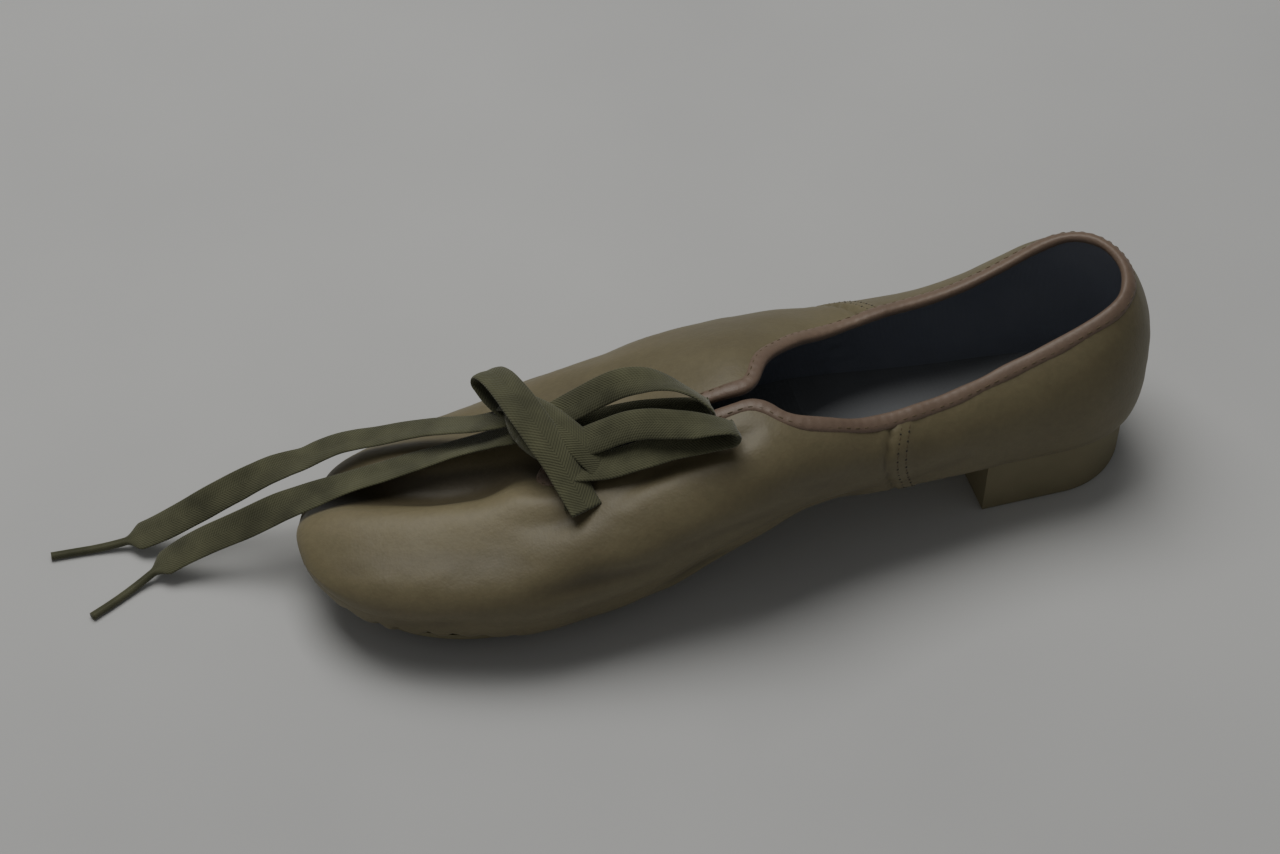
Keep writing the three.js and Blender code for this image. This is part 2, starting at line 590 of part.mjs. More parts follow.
// Pieces in their colours
const leather = new THREE.MeshStandardMaterial({ color: 0x8f8162, roughness: 0.5, metalness: 0 });
const rubber = new THREE.MeshStandardMaterial({ color: 0x9a8d6b, roughness: 0.75, metalness: 0 });
const piping = new THREE.MeshStandardMaterial({ color: 0x917c66, roughness: 0.5, metalness: 0 });
const lining = new THREE.MeshStandardMaterial({ color: 0x555a66, roughness: 0.9, metalness: 0 });
const cotton = new THREE.MeshStandardMaterial({ color: 0x636452, roughness: 0.9, metalness: 0 });

const shoe = new THREE.Group();
function addPiece(name, geometry, material) {
  const mesh = new THREE.Mesh(geometry, material);
  mesh.name = name;
  shoe.add(mesh);
}

addPiece('upper', toGeometry(makeUpper()), leather);
addPiece('insole', toGeometry(makeInsole()), lining);
addPiece('forefoot_sole', toGeometry(makeForefootSole()), rubber);
addPiece('heel', toGeometry(makeHeel()), rubber);
addPiece('collar_binding', toGeometry(makeBinding()), piping);
addPiece('lace_bar', makeLaceBar(), cotton);

// The origin goes under the middle of the shoe, before the loose lace is added
const standing = new THREE.Box3().setFromObject(shoe);
const middle = standing.getCenter(new THREE.Vector3());

addPiece('lace_knot', toGeometry(makeKnot(0)), cotton);
addPiece('lace_loop_far', toGeometry(makeTied(farLoop, 36)), cotton);
addPiece('lace_loop_near', toGeometry(makeTied(nearLoop, 36)), cotton);
addPiece('lace_end_far', toGeometry(makeTied(farEnd, 36)), cotton);
addPiece('lace_end_near', toGeometry(makeTied(nearEnd, 36)), cotton);

shoe.position.set(-middle.x, -middle.y, -standing.min.z);
shoe.updateMatrixWorld(true);

export default shoe;
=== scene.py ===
# %% [markdown]
# # A jazz shoe
#
# This notebook gives a soft leather jazz shoe its looks. The exact solids were made elsewhere and come in
# as a frame. Every visible piece but the insole is then built again in finer detail on the same last, in the
# same place.
# The order is: camera and light, lace, upper, seams, binding, inside, soles. All sizes are in millimetres
# until the very last step of each piece, because a shoemaker thinks in millimetres.

import math

import bmesh
import bpy
import numpy as np
from mathutils import Matrix, Vector


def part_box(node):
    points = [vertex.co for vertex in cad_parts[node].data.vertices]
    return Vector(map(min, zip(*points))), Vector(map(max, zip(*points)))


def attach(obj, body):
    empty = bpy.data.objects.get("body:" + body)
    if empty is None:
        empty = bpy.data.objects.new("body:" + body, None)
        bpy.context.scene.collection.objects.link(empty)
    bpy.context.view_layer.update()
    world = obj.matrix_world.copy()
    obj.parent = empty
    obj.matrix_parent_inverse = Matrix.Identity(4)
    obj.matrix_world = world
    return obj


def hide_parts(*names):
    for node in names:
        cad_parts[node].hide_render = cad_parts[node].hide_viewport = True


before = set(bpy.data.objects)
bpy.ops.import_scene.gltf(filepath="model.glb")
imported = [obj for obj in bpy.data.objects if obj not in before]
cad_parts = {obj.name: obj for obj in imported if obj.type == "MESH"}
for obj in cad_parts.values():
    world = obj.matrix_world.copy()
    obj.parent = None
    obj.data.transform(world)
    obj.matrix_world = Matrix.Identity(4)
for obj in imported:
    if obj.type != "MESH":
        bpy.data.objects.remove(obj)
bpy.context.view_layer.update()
MM = 0.001
heel_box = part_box("heel")
upper_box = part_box("upper")
# The last is drawn from the back of the heel along its own middle line. This moves it into the row frame.
SHIFT = np.array([upper_box[0][0] / MM, (heel_box[0][1] + heel_box[1][1]) / 2 / MM, 0.0])
print("nodes:", sorted(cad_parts), "shift in mm:", SHIFT.round(2))

# %% [markdown]
# ## The last
#
# A shoe is drawn round a last, a wooden foot. Here the last is a table of sections from heel to toe. Each
# column is a share of one named size, so that a change of a size moves every section. A smooth curve
# through the rows gives the sizes anywhere between them. Working with whole numpy arrays makes this fast
# for many thousand points.

# %% Sizes and the table of sections
LENGTH, BALL, HEEL, INSTEP, BACK, ARCH, SPRING = 246, 82, 61, 60, 66, 18.5, 9
WALL, GAP = 1.5, 0.3
HEEL_HIGH, HEEL_LONG, HEEL_WIDE, HEEL_INSET = 15, 50, 50, 3.5
PATCH_THICK, PATCH_LONG, PATCH_WIDE, PATCH_AT = 2.2, 83, 60, 190
# How far the forefoot sole leans to the inner side, and how square its outline is, where two is an ellipse
PATCH_LEAN, PATCH_SQUARE = 0.12, 2.5
COLLAR_FRONT, THROAT_FRONT, THROAT_WIDE, CROWN = 122, 181, 8, 3.6
EYELET_AT = THROAT_FRONT - 7
LACE_WIDE, LACE_THICK, TIP_WIDE, TIP_LONG = 8.5, 1.2, 2.2, 21

COLUMNS = "at shift heel_half ball_half heel arch patch spring back instep crown beam flat lean".split()
ROWS = np.array([
    [0.00, 0.00, 1.00, 0.000, 1.00, 0.00, 0.00, 0.00, 1.00, 0.000, 1.50, 0.34, 0.50, 0.00],
    [0.05, 0.00, 1.00, 0.000, 1.00, 0.00, 0.00, 0.00, 0.97, 0.000, 1.50, 0.34, 0.50, 0.00],
    [0.12, 0.00, 1.00, 0.000, 1.00, 0.00, 0.00, 0.00, 0.89, 0.000, 1.30, 0.36, 0.50, 0.02],
    [0.20, -0.01, 0.96, 0.040, 0.88, 0.12, 0.00, 0.00, 0.60, 0.220, 1.10, 0.37, 0.42, 0.08],
    [0.30, -0.03, 0.62, 0.340, 0.20, 0.80, 0.00, 0.00, 0.20, 0.610, 1.00, 0.36, 0.30, 0.19],
    [0.40, -0.05, 0.18, 0.710, 0.00, 1.00, 0.10, 0.00, 0.00, 0.870, 0.75, 0.36, 0.30, 0.31],
    [0.46, -0.05, 0.00, 0.880, 0.00, 0.84, 0.35, 0.00, 0.00, 0.955, 0.40, 0.36, 0.32, 0.38],
    [0.50, -0.04, 0.00, 0.910, 0.00, 0.66, 0.60, 0.00, 0.00, 1.000, 0.00, 0.36, 0.36, 0.41],
    [0.56, -0.03, 0.00, 0.950, 0.00, 0.32, 0.88, 0.00, 0.00, 0.950, 0.00, 0.38, 0.42, 0.39],
    [0.62, 0.00, 0.00, 0.985, 0.00, 0.05, 1.00, 0.00, 0.00, 0.860, 0.00, 0.39, 0.50, 0.34],
    [0.70, 0.04, 0.00, 1.000, 0.00, 0.00, 1.00, 0.00, 0.00, 0.740, 0.00, 0.41, 0.54, 0.27],
    [0.77, 0.08, 0.00, 1.000, 0.00, 0.00, 1.00, 0.00, 0.00, 0.655, 0.00, 0.43, 0.54, 0.22],
    [0.84, 0.09, 0.00, 1.000, 0.00, 0.00, 1.00, 0.16, 0.00, 0.600, 0.00, 0.45, 0.54, 0.18],
    [0.92, 0.09, 0.00, 1.000, 0.00, 0.00, 1.00, 0.50, 0.00, 0.550, 0.00, 0.46, 0.50, 0.12],
    [1.00, 0.09, 0.00, 1.000, 0.00, 0.00, 1.00, 1.05, 0.00, 0.500, 0.00, 0.46, 0.50, 0.10],
])
TABLE = dict(zip(COLUMNS, ROWS.T))
THROAT = {"at": np.array([0, 0.3, 0.7, 1.0]), "gap": np.array([0.80, 0.90, 1.15, 1.0])}
# Where each rounding begins as a share of the length, how round it is, and how high its two halves meet
TOE_ROUND = {"wide": 0.67, "top": 0.86, "bottom": 0.89}
HEEL_ROUND = {"wide": 0.13, "top": 0.085, "bottom": 0.045}
ROUND_POWER, POLE = 2.2, 0.42
# Long soft troughs of the slack vamp: place and side as shares, then length, width and depth as shares
DENTS = [
    (0.850, 0.06, 0.110, 0.30, 0.045),
    (0.800, -0.12, 0.120, 0.60, 0.040),
    (0.640, 0.55, 0.080, 0.26, 0.035),
]
print("rows in the table:", len(ROWS), "sizes in each:", len(COLUMNS))

# %% [markdown]
# ## Between the rows
#
# A table has few rows, but a last is smooth. A cubic through each pair of rows, with slopes that never
# overshoot, keeps every swelling where the row puts it. A section is then a handful of sizes at any place
# along the foot.

# %% Reading the table
def read(table, column, at):
    """A column at any place: a cubic whose slope at a row is the harmonic mean of the slopes beside it."""
    xs, ys = table["at"], table[column]
    step = np.diff(xs)
    rise = np.diff(ys) / step
    both, total = rise[:-1] * rise[1:], rise[:-1] + rise[1:]
    inner = np.where(both > 0, 2 * both / np.where(both > 0, total, 1), 0)
    slope = np.concatenate([rise[:1], inner, rise[-1:]])
    k = np.clip(np.searchsorted(xs, at, side="right") - 1, 0, len(xs) - 2)
    t = np.clip((at - xs[k]) / step[k], 0, 1)
    blend = ys[k] + (ys[k + 1] - ys[k]) * t * t * (3 - 2 * t)
    return blend + step[k] * (slope[k] * t * (1 - t) ** 2 - slope[k + 1] * t * t * (1 - t))


def round_end(at, begins, ends):
    """Share that is left near a rounded end: one where the rounding begins, zero at the end."""
    t = np.clip((at - begins) / (ends - begins), 0, 1)
    return (1 - t**ROUND_POWER) ** (1 / ROUND_POWER)


def both_ends(at, part):
    """Share that is left between the rounded heel and the rounded toe."""
    return round_end(at, TOE_ROUND[part], 1) * round_end(at, HEEL_ROUND[part], 0)


def section(x):
    """Sizes of the section at x: the table's shares times the named sizes, drawn in at both round ends."""
    at = np.clip(np.asarray(x, float) / LENGTH, 0, 1)
    c = {name: read(TABLE, name, at) for name in COLUMNS[1:]}
    half = c["heel_half"] * HEEL / 2 + c["ball_half"] * BALL / 2
    lift = PATCH_THICK + GAP
    under = c["heel"] * (HEEL_HIGH + GAP) + c["arch"] * ARCH + c["patch"] * lift + c["spring"] * SPRING
    top = c["back"] * BACK + c["instep"] * INSTEP
    ridge = top + c["crown"] * CROWN
    pole = under + POLE * (ridge - under)
    low, high, wide = both_ends(at, "bottom"), both_ends(at, "top"), both_ends(at, "wide")
    beam = pole + (under + c["beam"] * (top - under) - pole) * np.minimum(low, high)
    return {
        "middle": c["shift"] * BALL / 2, "half": half * wide, "flat": c["flat"], "lean": c["lean"] * BALL / 2,
        "under": pole + (under - pole) * low, "beam": beam, "ridge": pole + (ridge - pole) * high, "top": top,
    }

# %% [markdown]
# ## The surface of the last
#
# One function of two numbers gives every point: the place along the foot, and how far round the section.
# The lower part is flat and then a quarter turn up to the widest place. The upper part is a softer arc up
# to the ridge. The normal comes from two small steps across the surface, so it needs no formula of its
# own.

# %% Points and normals of the last
LOWER, FLAT_WALK, CROWN_POWER = 0.56, 0.2, 2.2


def last(x, w):
    """Point of the last: w runs from 0 under the middle to 1 on the ridge, above zero on the inner side."""
    x, w = np.broadcast_arrays(np.asarray(x, float), np.asarray(w, float))
    s = section(x)
    q, side = np.abs(w), np.where(w < 0, -1.0, 1.0)
    walk = np.clip(q / (FLAT_WALK * LOWER), 0, 1)
    turn = np.clip((q / LOWER - FLAT_WALK) / (1 - FLAT_WALK), 0, 1) * np.pi / 2
    low_out = s["flat"] * walk + (1 - s["flat"]) * np.sin(turn)
    low_z = s["under"] + (s["beam"] - s["under"]) * (1 - np.cos(turn))
    over = np.clip((q - LOWER) / (1 - LOWER), 0, 1) * np.pi / 2
    high_out = np.clip(np.cos(over), 0, 1) ** (2 / CROWN_POWER)
    rise = np.sin(over) ** (2 / CROWN_POWER)
    high_z = s["beam"] + (s["ridge"] - s["beam"]) * rise
    y = s["middle"] + side * np.where(q <= LOWER, low_out, high_out) * s["half"]
    y = y + np.where(q <= LOWER, 0, s["lean"] * rise)
    dip = np.zeros_like(y)
    for at, across, long, wide, deep in DENTS:
        along = (x - at * LENGTH) / (long * LENGTH)
        aside = (y - across * BALL / 2) / (wide * BALL / 2)
        dip += deep * INSTEP * np.exp(-along**2 - aside**2)
    return np.stack([x, y, np.where(q <= LOWER, low_z, high_z - dip * rise**2)], -1)


def unit(v):
    """Each vector divided by its own length."""
    return v / np.maximum(np.linalg.norm(v, axis=-1, keepdims=True), 1e-9)


def last_normal(x, w):
    """Direction out of the last: across a small step along the foot and a small step round the section."""
    x, w = np.broadcast_arrays(np.clip(x, 0.25, LENGTH - 0.25), np.clip(w, -0.994, 0.994))
    along = last(x + 0.1, w) - last(x - 0.1, w)
    around = last(x, w + 0.004) - last(x, w - 0.004)
    return unit(np.cross(around, along))

# %% [markdown]
# ## Openings
#
# A shoe is cut open at the collar and along the throat, so the leather ends before it reaches the ridge.
# How far it climbs on each side is one more function, worked out from the height of the top line and from
# the gap between the two facings.

# %% Collar and throat
def ridge_line(x):
    """Side position of the ridge, which lies over to the inner side of the slack shoe."""
    s = section(x)
    return s["middle"] + s["lean"]


def throat_half(x):
    """Half the gap between the two facings."""
    return read(THROAT, "gap", (x - COLLAR_FRONT) / (THROAT_FRONT - COLLAR_FRONT)) * THROAT_WIDE / 2


def edge_of(x):
    """How far up each side the leather goes: one where the top is closed, less along collar and throat."""
    s = section(x)
    rise = np.clip((s["top"] - s["beam"]) / np.maximum(s["ridge"] - s["beam"], 1e-6), 0, 1)
    collar = np.where(x < COLLAR_FRONT, np.arcsin(rise ** (CROWN_POWER / 2)), np.pi / 2)
    reach = throat_half(x)
    front = THROAT_FRONT - throat_half(THROAT_FRONT)
    nose = np.sqrt(np.clip(1 - ((x - front) / throat_half(THROAT_FRONT)) ** 2, 0, 1))
    open_here = (x > COLLAR_FRONT - 2 * THROAT_WIDE) & (x < THROAT_FRONT)
    reach = np.where(x > front, reach * nose, reach) * open_here
    slit = np.arccos(np.clip(reach / np.maximum(s["half"], 1e-6), 0, 1) ** (CROWN_POWER / 2))
    return LOWER + (1 - LOWER) * np.minimum(collar, slit) / (np.pi / 2)


def collar_back():
    """Where the top line meets the back of the heel, found by halving."""
    low, high = 0.0, HEEL_ROUND["top"] * LENGTH
    for _ in range(40):
        x = (low + high) / 2
        s = section(x)
        low, high = (x, high) if s["ridge"] < s["top"] else (low, x)
    return high


COLLAR_BACK = collar_back()
ball_wide = round(float(2 * section(172)["half"]), 1)
print("collar starts", round(COLLAR_BACK, 2), "mm from the back, ball width", ball_wide)

# %% [markdown]
# ## Creases, seams and pleats as one relief
#
# Leather isn't smooth: it sinks at a seam, folds where the foot bends and is gathered in pleats under the
# toe. All of it is one function that says how far a point moves along its normal. The creases are a table
# in the shoe's own sizes, each a soft trough with raised lips. This beats sculpting, since a row can be
# read and moved.

# %% Tables of creases and pleats
# face, from, to, bow sideways, half width, depth: top and under read x,y from above, inner and outer read x,z
CREASES = [
    ("top", (172, 10), (247, -15), 2.5, 6.0, 3.2),
    ("top", (160, 26), (248, -4), 4.0, 6.5, -1.3),
    ("top", (150, 6), (176, 2), 1.5, 4.0, 0.7),
    ("top", (188, -16), (222, -22), -2.0, 5.0, 0.8),
    ("top", (140, -12), (172, -18), 1.5, 4.0, 0.6),
    ("top", (166, 29), (192, 24), 2.0, 3.0, 0.7),
    ("top", (142, 27), (168, 30), -2.0, 2.6, 0.6),
    ("top", (122, 26), (148, 28), 1.0, 2.4, 0.6),
    ("inner", (150, 30), (196, 27), 2.5, 3.0, 0.8),
    ("inner", (118, 38), (160, 33), 2.0, 2.6, 0.6),
    ("inner", (128, 22), (158, 14), 2.0, 3.0, 0.8),
    ("inner", (90, 30), (122, 26), -2.0, 3.2, 0.6),
    ("inner", (96, 40), (120, 46), -1.5, 2.4, 0.4),
    ("inner", (60, 34), (86, 26), 2.0, 3.0, 0.5),
    ("inner", (204, 21), (236, 17), -1.5, 2.8, 0.5),
    ("outer", (146, 28), (188, 24), 2.0, 3.2, 0.7),
    ("outer", (120, 36), (154, 32), 2.0, 2.8, 0.5),
    ("outer", (92, 30), (124, 24), -2.0, 3.0, 0.6),
    ("outer", (62, 32), (84, 27), 2.0, 3.0, 0.5),
    ("outer", (198, 20), (232, 15), -1.5, 3.0, 0.4),
    ("under", (84, 6), (94, 24), 2.0, 3.4, 0.8),
    ("under", (88, -8), (84, -25), -2.0, 3.0, 0.9),
    ("under", (98, 10), (108, 22), 1.5, 3.0, 0.6),
    ("under", (104, -12), (118, -24), 1.5, 3.4, 0.6),
    ("under", (126, 10), (140, 24), 2.0, 3.0, 0.5),
    ("under", (60, 12), (68, 20), 1.0, 2.0, 0.4),
]
FACES = {"top": ((0, 0, 1), 1), "under": ((0, 0, -1), 1), "inner": ((0, 1, 0), 2), "outer": ((0, -1, 0), 2)}
# Where the pleats lie round the front of the forefoot sole: degrees from the toe, then how deep each one is
PLEATS = np.array([
    [-84, 0.4], [-70, 0.8], [-57, 1.2], [-46, 1.5], [-38, 1.1], [-27, 1.6], [-20, 1.2], [-9, 1.7], [-2, 1.2],
    [9, 1.6], [15, 1.2], [26, 1.8], [32, 1.3], [44, 1.6], [54, 1.2], [67, 0.9], [80, 0.5], [96, 0.3],
])
SEAM_AT, SEAM_SWEEP = 72.5, 0.011
print("creases:", len(CREASES), "pleats:", len(PLEATS))

# %% [markdown]
# ## Tools for the relief
#
# A few small functions are enough for every crease: a soft step, a round hump, the place of a point on
# the forefoot sole, and the lines of the two seams. Slow waves in random directions add the hand of soft
# leather.

# %% Soft steps, humps and seam lines
def smooth(value, low, high):
    """Zero below low, one above high, with a soft change between them."""
    t = np.clip((value - low) / (high - low), 0, 1)
    return t * t * (3 - 2 * t)


def bell(distance, width):
    """A round hump of that half width."""
    return np.exp(-((distance / width) ** 2))


def patch_share(x, y):
    """Place seen from the sole's own middle: one on its outline. And the angle from the toe."""
    middle = float(section(PATCH_AT)["middle"])
    along = (x - PATCH_AT) / (PATCH_LONG / 2)
    across = (y - middle - PATCH_LEAN * (x - PATCH_AT)) / (PATCH_WIDE / 2)
    share = (np.abs(along) ** PATCH_SQUARE + np.abs(across) ** PATCH_SQUARE) ** (1 / PATCH_SQUARE)
    return share, np.degrees(np.arctan2(across * PATCH_WIDE, along * PATCH_LONG))


def seam_x(y, z):
    """The cross seam: straight under the waist, swept towards the toe as it climbs each side."""
    return SEAM_AT + SEAM_SWEEP * y**2 + 0.16 * np.maximum(z - 20, 0)


def centre_line(x):
    """Side position of the seam that runs along under the arch."""
    return section(x)["middle"] + 0.6


def ripple(p, size, seed):
    """Sum of eight slow waves in random directions, from about minus one to one: the hand of soft leather."""
    local = np.random.default_rng(seed)
    waves = unit(local.normal(size=(8, 3))) * (2 * np.pi / size) * local.uniform(0.6, 1.5, (8, 1))
    phase = local.uniform(0, 2 * np.pi, 8)
    return np.sin(p @ waves.T + phase).sum(-1) / 3.5

# %% [markdown]
# ## The relief itself
#
# Each crease adds its own depth where the leather faces its side. Then come the pleats, the seams, the
# lip at the end of the throat and the waves. Last of all everything fades out beside the rubber, which
# was pressed flat on it.

# %% How far the leather stands off
def relief(p, n):
    """How far the leather stands off the last at points p with normals n, in mm."""
    x, y, z = p[..., 0], p[..., 1], p[..., 2]
    out = np.zeros_like(x)
    for face, start, end, bow, wide, deep in CREASES:
        direction, second = FACES[face]
        spot = np.stack([x, p[..., second]], -1) - np.array(start, float)
        line = np.array(end, float) - np.array(start, float)
        size = np.hypot(*line)
        t = np.clip(spot @ line / size**2, 0, 1)
        away = spot - t[..., None] * line
        aside = (spot[..., 1] * line[0] - spot[..., 0] * line[1]) / size - bow * 4 * t * (1 - t)
        beyond = np.hypot(*np.moveaxis(away, -1, 0)) * ((t <= 0) | (t >= 1))
        far = np.hypot(aside, beyond)
        facing = smooth(n @ np.array(direction, float), 0.05, 0.5)
        taper = np.sin(np.pi * np.clip(t, 0.02, 0.98)) ** 0.7 * facing
        out += taper * deep * (0.45 * bell(far - 2.1 * wide, 1.1 * wide) - bell(far, wide))
    under = smooth(-n[..., 2], 0.1, 0.6)
    # Puckers between the pleats, deepest beside the rubber and gone where the toe turns up
    share, angle = patch_share(x, y)
    k = np.clip(np.searchsorted(PLEATS[:, 0], angle) - 1, 0, len(PLEATS) - 2)
    left, right = PLEATS[k], PLEATS[k + 1]
    t = np.clip((angle - left[..., 0]) / (right[..., 0] - left[..., 0]), 0, 1)
    deep = left[..., 1] * (1 - t) + right[..., 1] * t
    puff = np.abs(np.sin(np.pi * t)) ** 0.55
    fade = (1 - smooth(share, 1.08, 1.5)) * smooth(share, 0.8, 0.97) * smooth(-n[..., 2], 0.3, 0.7)
    inside = (angle > PLEATS[0, 0]) & (angle < PLEATS[-1, 0])
    out += inside * fade * deep * (1.5 * puff - 1.25)
    # Seams: a step down from the heel panel and a groove, and a groove with puffed sides under the arch
    from_seam = x - seam_x(y, z)
    out += 0.55 * (1 - smooth(from_seam, -0.5, 0.35)) * smooth(from_seam, -7, -3)
    out -= 0.7 * bell(from_seam - 0.7, 0.7) - 0.18 * bell(from_seam - 2.6, 1.6)
    out -= 0.16 * bell(from_seam + 2.4, 0.55)
    aside = y - centre_line(x)
    run = under * smooth(x, 46, 52) * (1 - smooth(x, 147, 151))
    beside = np.abs(aside)
    puffed = 0.35 * bell(beside - 1.7, 1.2) - 1.1 * bell(aside, 0.65) - 0.14 * bell(beside - 3.0, 0.5)
    out += run * puffed
    # The end of the slit lifts as a soft lip under the knot, and the facings roll up a little beside the slit
    out += 1.5 * bell(x - 188, 6) * bell(y - ridge_line(x), 9) * smooth(n[..., 2], 0.4, 0.8)
    out += 0.5 * ripple(p, 46, 3) + 0.10 * ripple(p, 17, 5) + 0.03 * ripple(p, 7, 9)
    # Flat beside the rubber pieces, so that they meet cleanly
    near_heel = (1 - smooth(z, HEEL_HIGH + 4, HEEL_HIGH + 8)) * (1 - smooth(x, 50, 56))
    near_patch = (1 - smooth(share, 0.80, 0.97)) * smooth(-n[..., 2], 0.3, 0.8)
    return out * (1 - near_heel) * (1 - near_patch)


def skin(x, w):
    """The finished surface, its normals and its relief: the last, moved along its normal by the relief."""
    p, n = last(x, w), last_normal(x, w)
    lift = relief(p, n)
    return p + n * lift[..., None], n, lift


test, _, lift = skin(np.array([20.0, 120.0, 200.0]), np.array([0.3, -0.5, 0.8]))
print("three points of the skin in mm:", test.round(1).tolist(), "their relief:", lift.round(2).tolist())

# %% [markdown]
# ## Small makers
#
# Two helpers turn arrays into objects. One makes a mesh object from points and faces, and moves it from
# millimetres on the last to metres in the row frame. The other gives the four-cornered faces of a grid of
# points. Short helpers keep the long parts of the notebook readable.

# %% Helpers for meshes
def make_object(name, points, faces, material, uvs=None, merge=0.0):
    """A mesh object in the row frame from points in mm on the last and a list or array of faces."""
    mesh = bpy.data.meshes.new(name)
    placed = (np.asarray(points, float).reshape(-1, 3) + SHIFT) * MM
    mesh.from_pydata(placed.tolist(), [], faces.tolist() if isinstance(faces, np.ndarray) else faces)
    if uvs is not None:
        layer = mesh.uv_layers.new(name="across")
        corners = np.empty(len(mesh.loops), np.int32)
        mesh.loops.foreach_get("vertex_index", corners)
        layer.data.foreach_set("uv", np.asarray(uvs, np.float32).reshape(-1, 2)[corners].ravel())
    if merge:
        joined = bmesh.new()
        joined.from_mesh(mesh)
        bmesh.ops.remove_doubles(joined, verts=joined.verts, dist=merge * MM)
        joined.to_mesh(mesh)
        joined.free()
    mesh.shade_smooth()
    mesh.materials.append(material)
    made = bpy.data.objects.new(name, mesh)
    bpy.context.collection.objects.link(made)
    return made


def grid_faces(rows, columns, close=False):
    """Four-cornered faces of a grid of points, closed round its columns if asked."""
    i, j = np.meshgrid(np.arange(rows - 1), np.arange(columns if close else columns - 1), indexing="ij")
    right = (j + 1) % columns
    here, above = i * columns, (i + 1) * columns
    return np.stack([here + j, here + right, above + right, above + j], -1).reshape(-1, 4)

# %% [markdown]
# ## Colours and nodes
#
# A shader wants linear colour and scales in metres, while a maker thinks in paint codes and millimetres,
# so two short functions translate. One more adds any node with its settings and links.

# %% Helpers for materials
def colour(code, alpha=1.0):
    """Linear colour of an sRGB hex code, which is what a shader wants."""
    channels = [int(code[i : i + 2], 16) / 255 for i in (0, 2, 4)]
    return [c / 12.92 if c <= 0.04045 else ((c + 0.055) / 1.055) ** 2.4 for c in channels] + [alpha]


def per_mm(size):
    """Texture scale of a pattern that repeats about every so many millimetres in Object coordinates."""
    return 1 / (size * MM)


def new_material(name):
    """An empty node material with its tree, its shader and its texture coordinates."""
    material = bpy.data.materials.new(name)
    material.use_nodes = True
    tree = material.node_tree
    tree.nodes.clear()
    shader = tree.nodes.new("ShaderNodeBsdfPrincipled")
    output = tree.nodes.new("ShaderNodeOutputMaterial")
    tree.links.new(shader.outputs["BSDF"], output.inputs["Surface"])
    return material, tree, shader, tree.nodes.new("ShaderNodeTexCoord")


def add(tree, kind, settings=None, **links):
    """One node with its settings and links.

    A setting is a property, an input by its name or number, or the stops of a colour ramp as pairs of place
    and colour. A link's name is its input: an underscore stands for a space, and i_ comes before a number.
    """
    node = tree.nodes.new(kind)
    for name, value in (settings or {}).items():
        if name == "stops":
            for element, (place, tint) in zip(node.color_ramp.elements, value):
                element.position = place
                element.color = tint
        elif isinstance(name, str) and hasattr(node, name):
            setattr(node, name, value)
        else:
            node.inputs[name].default_value = value
    for name, source in links.items():
        key = name.replace("_", " ") if not name.startswith("i_") else int(name[2:])
        tree.links.new(source, node.inputs[key])
    return node


def grey(level):
    """A grey of that level as a colour."""
    return [level, level, level, 1]


def bumps(tree, shader, layers):
    """Chain of bump nodes, each a height output, a strength and a depth in mm, into the shader's normal."""
    normal = None
    for height, strength, depth in layers:
        node = add(tree, "ShaderNodeBump", {"Strength": strength, "Distance": depth * MM}, Height=height)
        if normal is not None:
            tree.links.new(normal, node.inputs["Normal"])
        normal = node.outputs["Normal"]
    tree.links.new(normal, shader.inputs["Normal"])

# %% [markdown]
# ## A smooth line through rows
#
# A lace is drawn by a few points that it goes through. A curve through them, walked at an even pace,
# gives the ribbon sections of even length, so the weave on it keeps its size.

# %% Smooth curves
def catmull(rows, count):
    """Points evenly spaced along a smooth curve through the rows, found from the curve's own length."""
    rows = np.asarray(rows, float)
    gaps = np.linalg.norm(np.diff(rows[:, :3], axis=0), axis=1) ** 0.5
    knots = np.concatenate([[0], np.cumsum(np.maximum(gaps, 1e-6))])
    slopes = np.gradient(rows, knots, axis=0)
    fine = np.linspace(0, knots[-1], count * 6)
    k = np.clip(np.searchsorted(knots, fine, side="right") - 1, 0, len(knots) - 2)
    h = (knots[k + 1] - knots[k])[:, None]
    t = ((fine - knots[k]) / h[:, 0])[:, None]
    curve = rows[k] * (1 + 2 * t) * (1 - t) ** 2 + rows[k + 1] * t * t * (3 - 2 * t)
    curve += h * (slopes[k] * t * (1 - t) ** 2 - slopes[k + 1] * t * t * (1 - t))
    walked = np.concatenate([[0], np.cumsum(np.linalg.norm(np.diff(curve[:, :3], axis=0), axis=1))])
    wanted = np.linspace(0, walked[-1], count)
    return np.stack([np.interp(wanted, walked, column) for column in curve.T], -1), walked[-1]


print("helpers ready")

# %% [markdown]
# ## Camera and light
#
# The camera comes before the shoe, because it decides what must be fine. It looks at the standing shoe
# from the side and height of the photo, and it is rolled a little, as the photo is. A large soft lamp
# from the upper edge of the picture leaves the lower side of the shoe in shade.

# %% Camera and lamps
VIEW = {"turn": 161.4, "high": 48.3, "roll": 2.2, "away": 0.911, "lens": 92.0, "aim": (24.0, -8.0, 31.0)}


def camera_axes(turn, high, roll):
    """Right, up and back of a camera that stands at a turn and height round the shoe and is then rolled."""
    a, e, r = np.radians([turn, high, roll])
    back = np.array([np.sin(a) * np.cos(e), -np.cos(a) * np.cos(e), np.sin(e)])
    right = unit(np.cross(-back, [0, 0, 1]))
    up = np.cross(right, -back)
    return np.cos(r) * right + np.sin(r) * up, -np.sin(r) * right + np.cos(r) * up, back


right, up, back = camera_axes(VIEW["turn"], VIEW["high"], VIEW["roll"])
place = np.array(VIEW["aim"]) * MM + back * VIEW["away"]
camera = bpy.data.objects.new("camera", bpy.data.cameras.new("camera"))
camera.data.lens = VIEW["lens"]
camera.data.clip_end = 20
turned = Matrix(np.stack([right, up, back], -1).tolist()).to_4x4()
camera.matrix_world = Matrix.Translation(Vector(place)) @ turned
bpy.context.collection.objects.link(camera)
bpy.context.scene.camera = camera


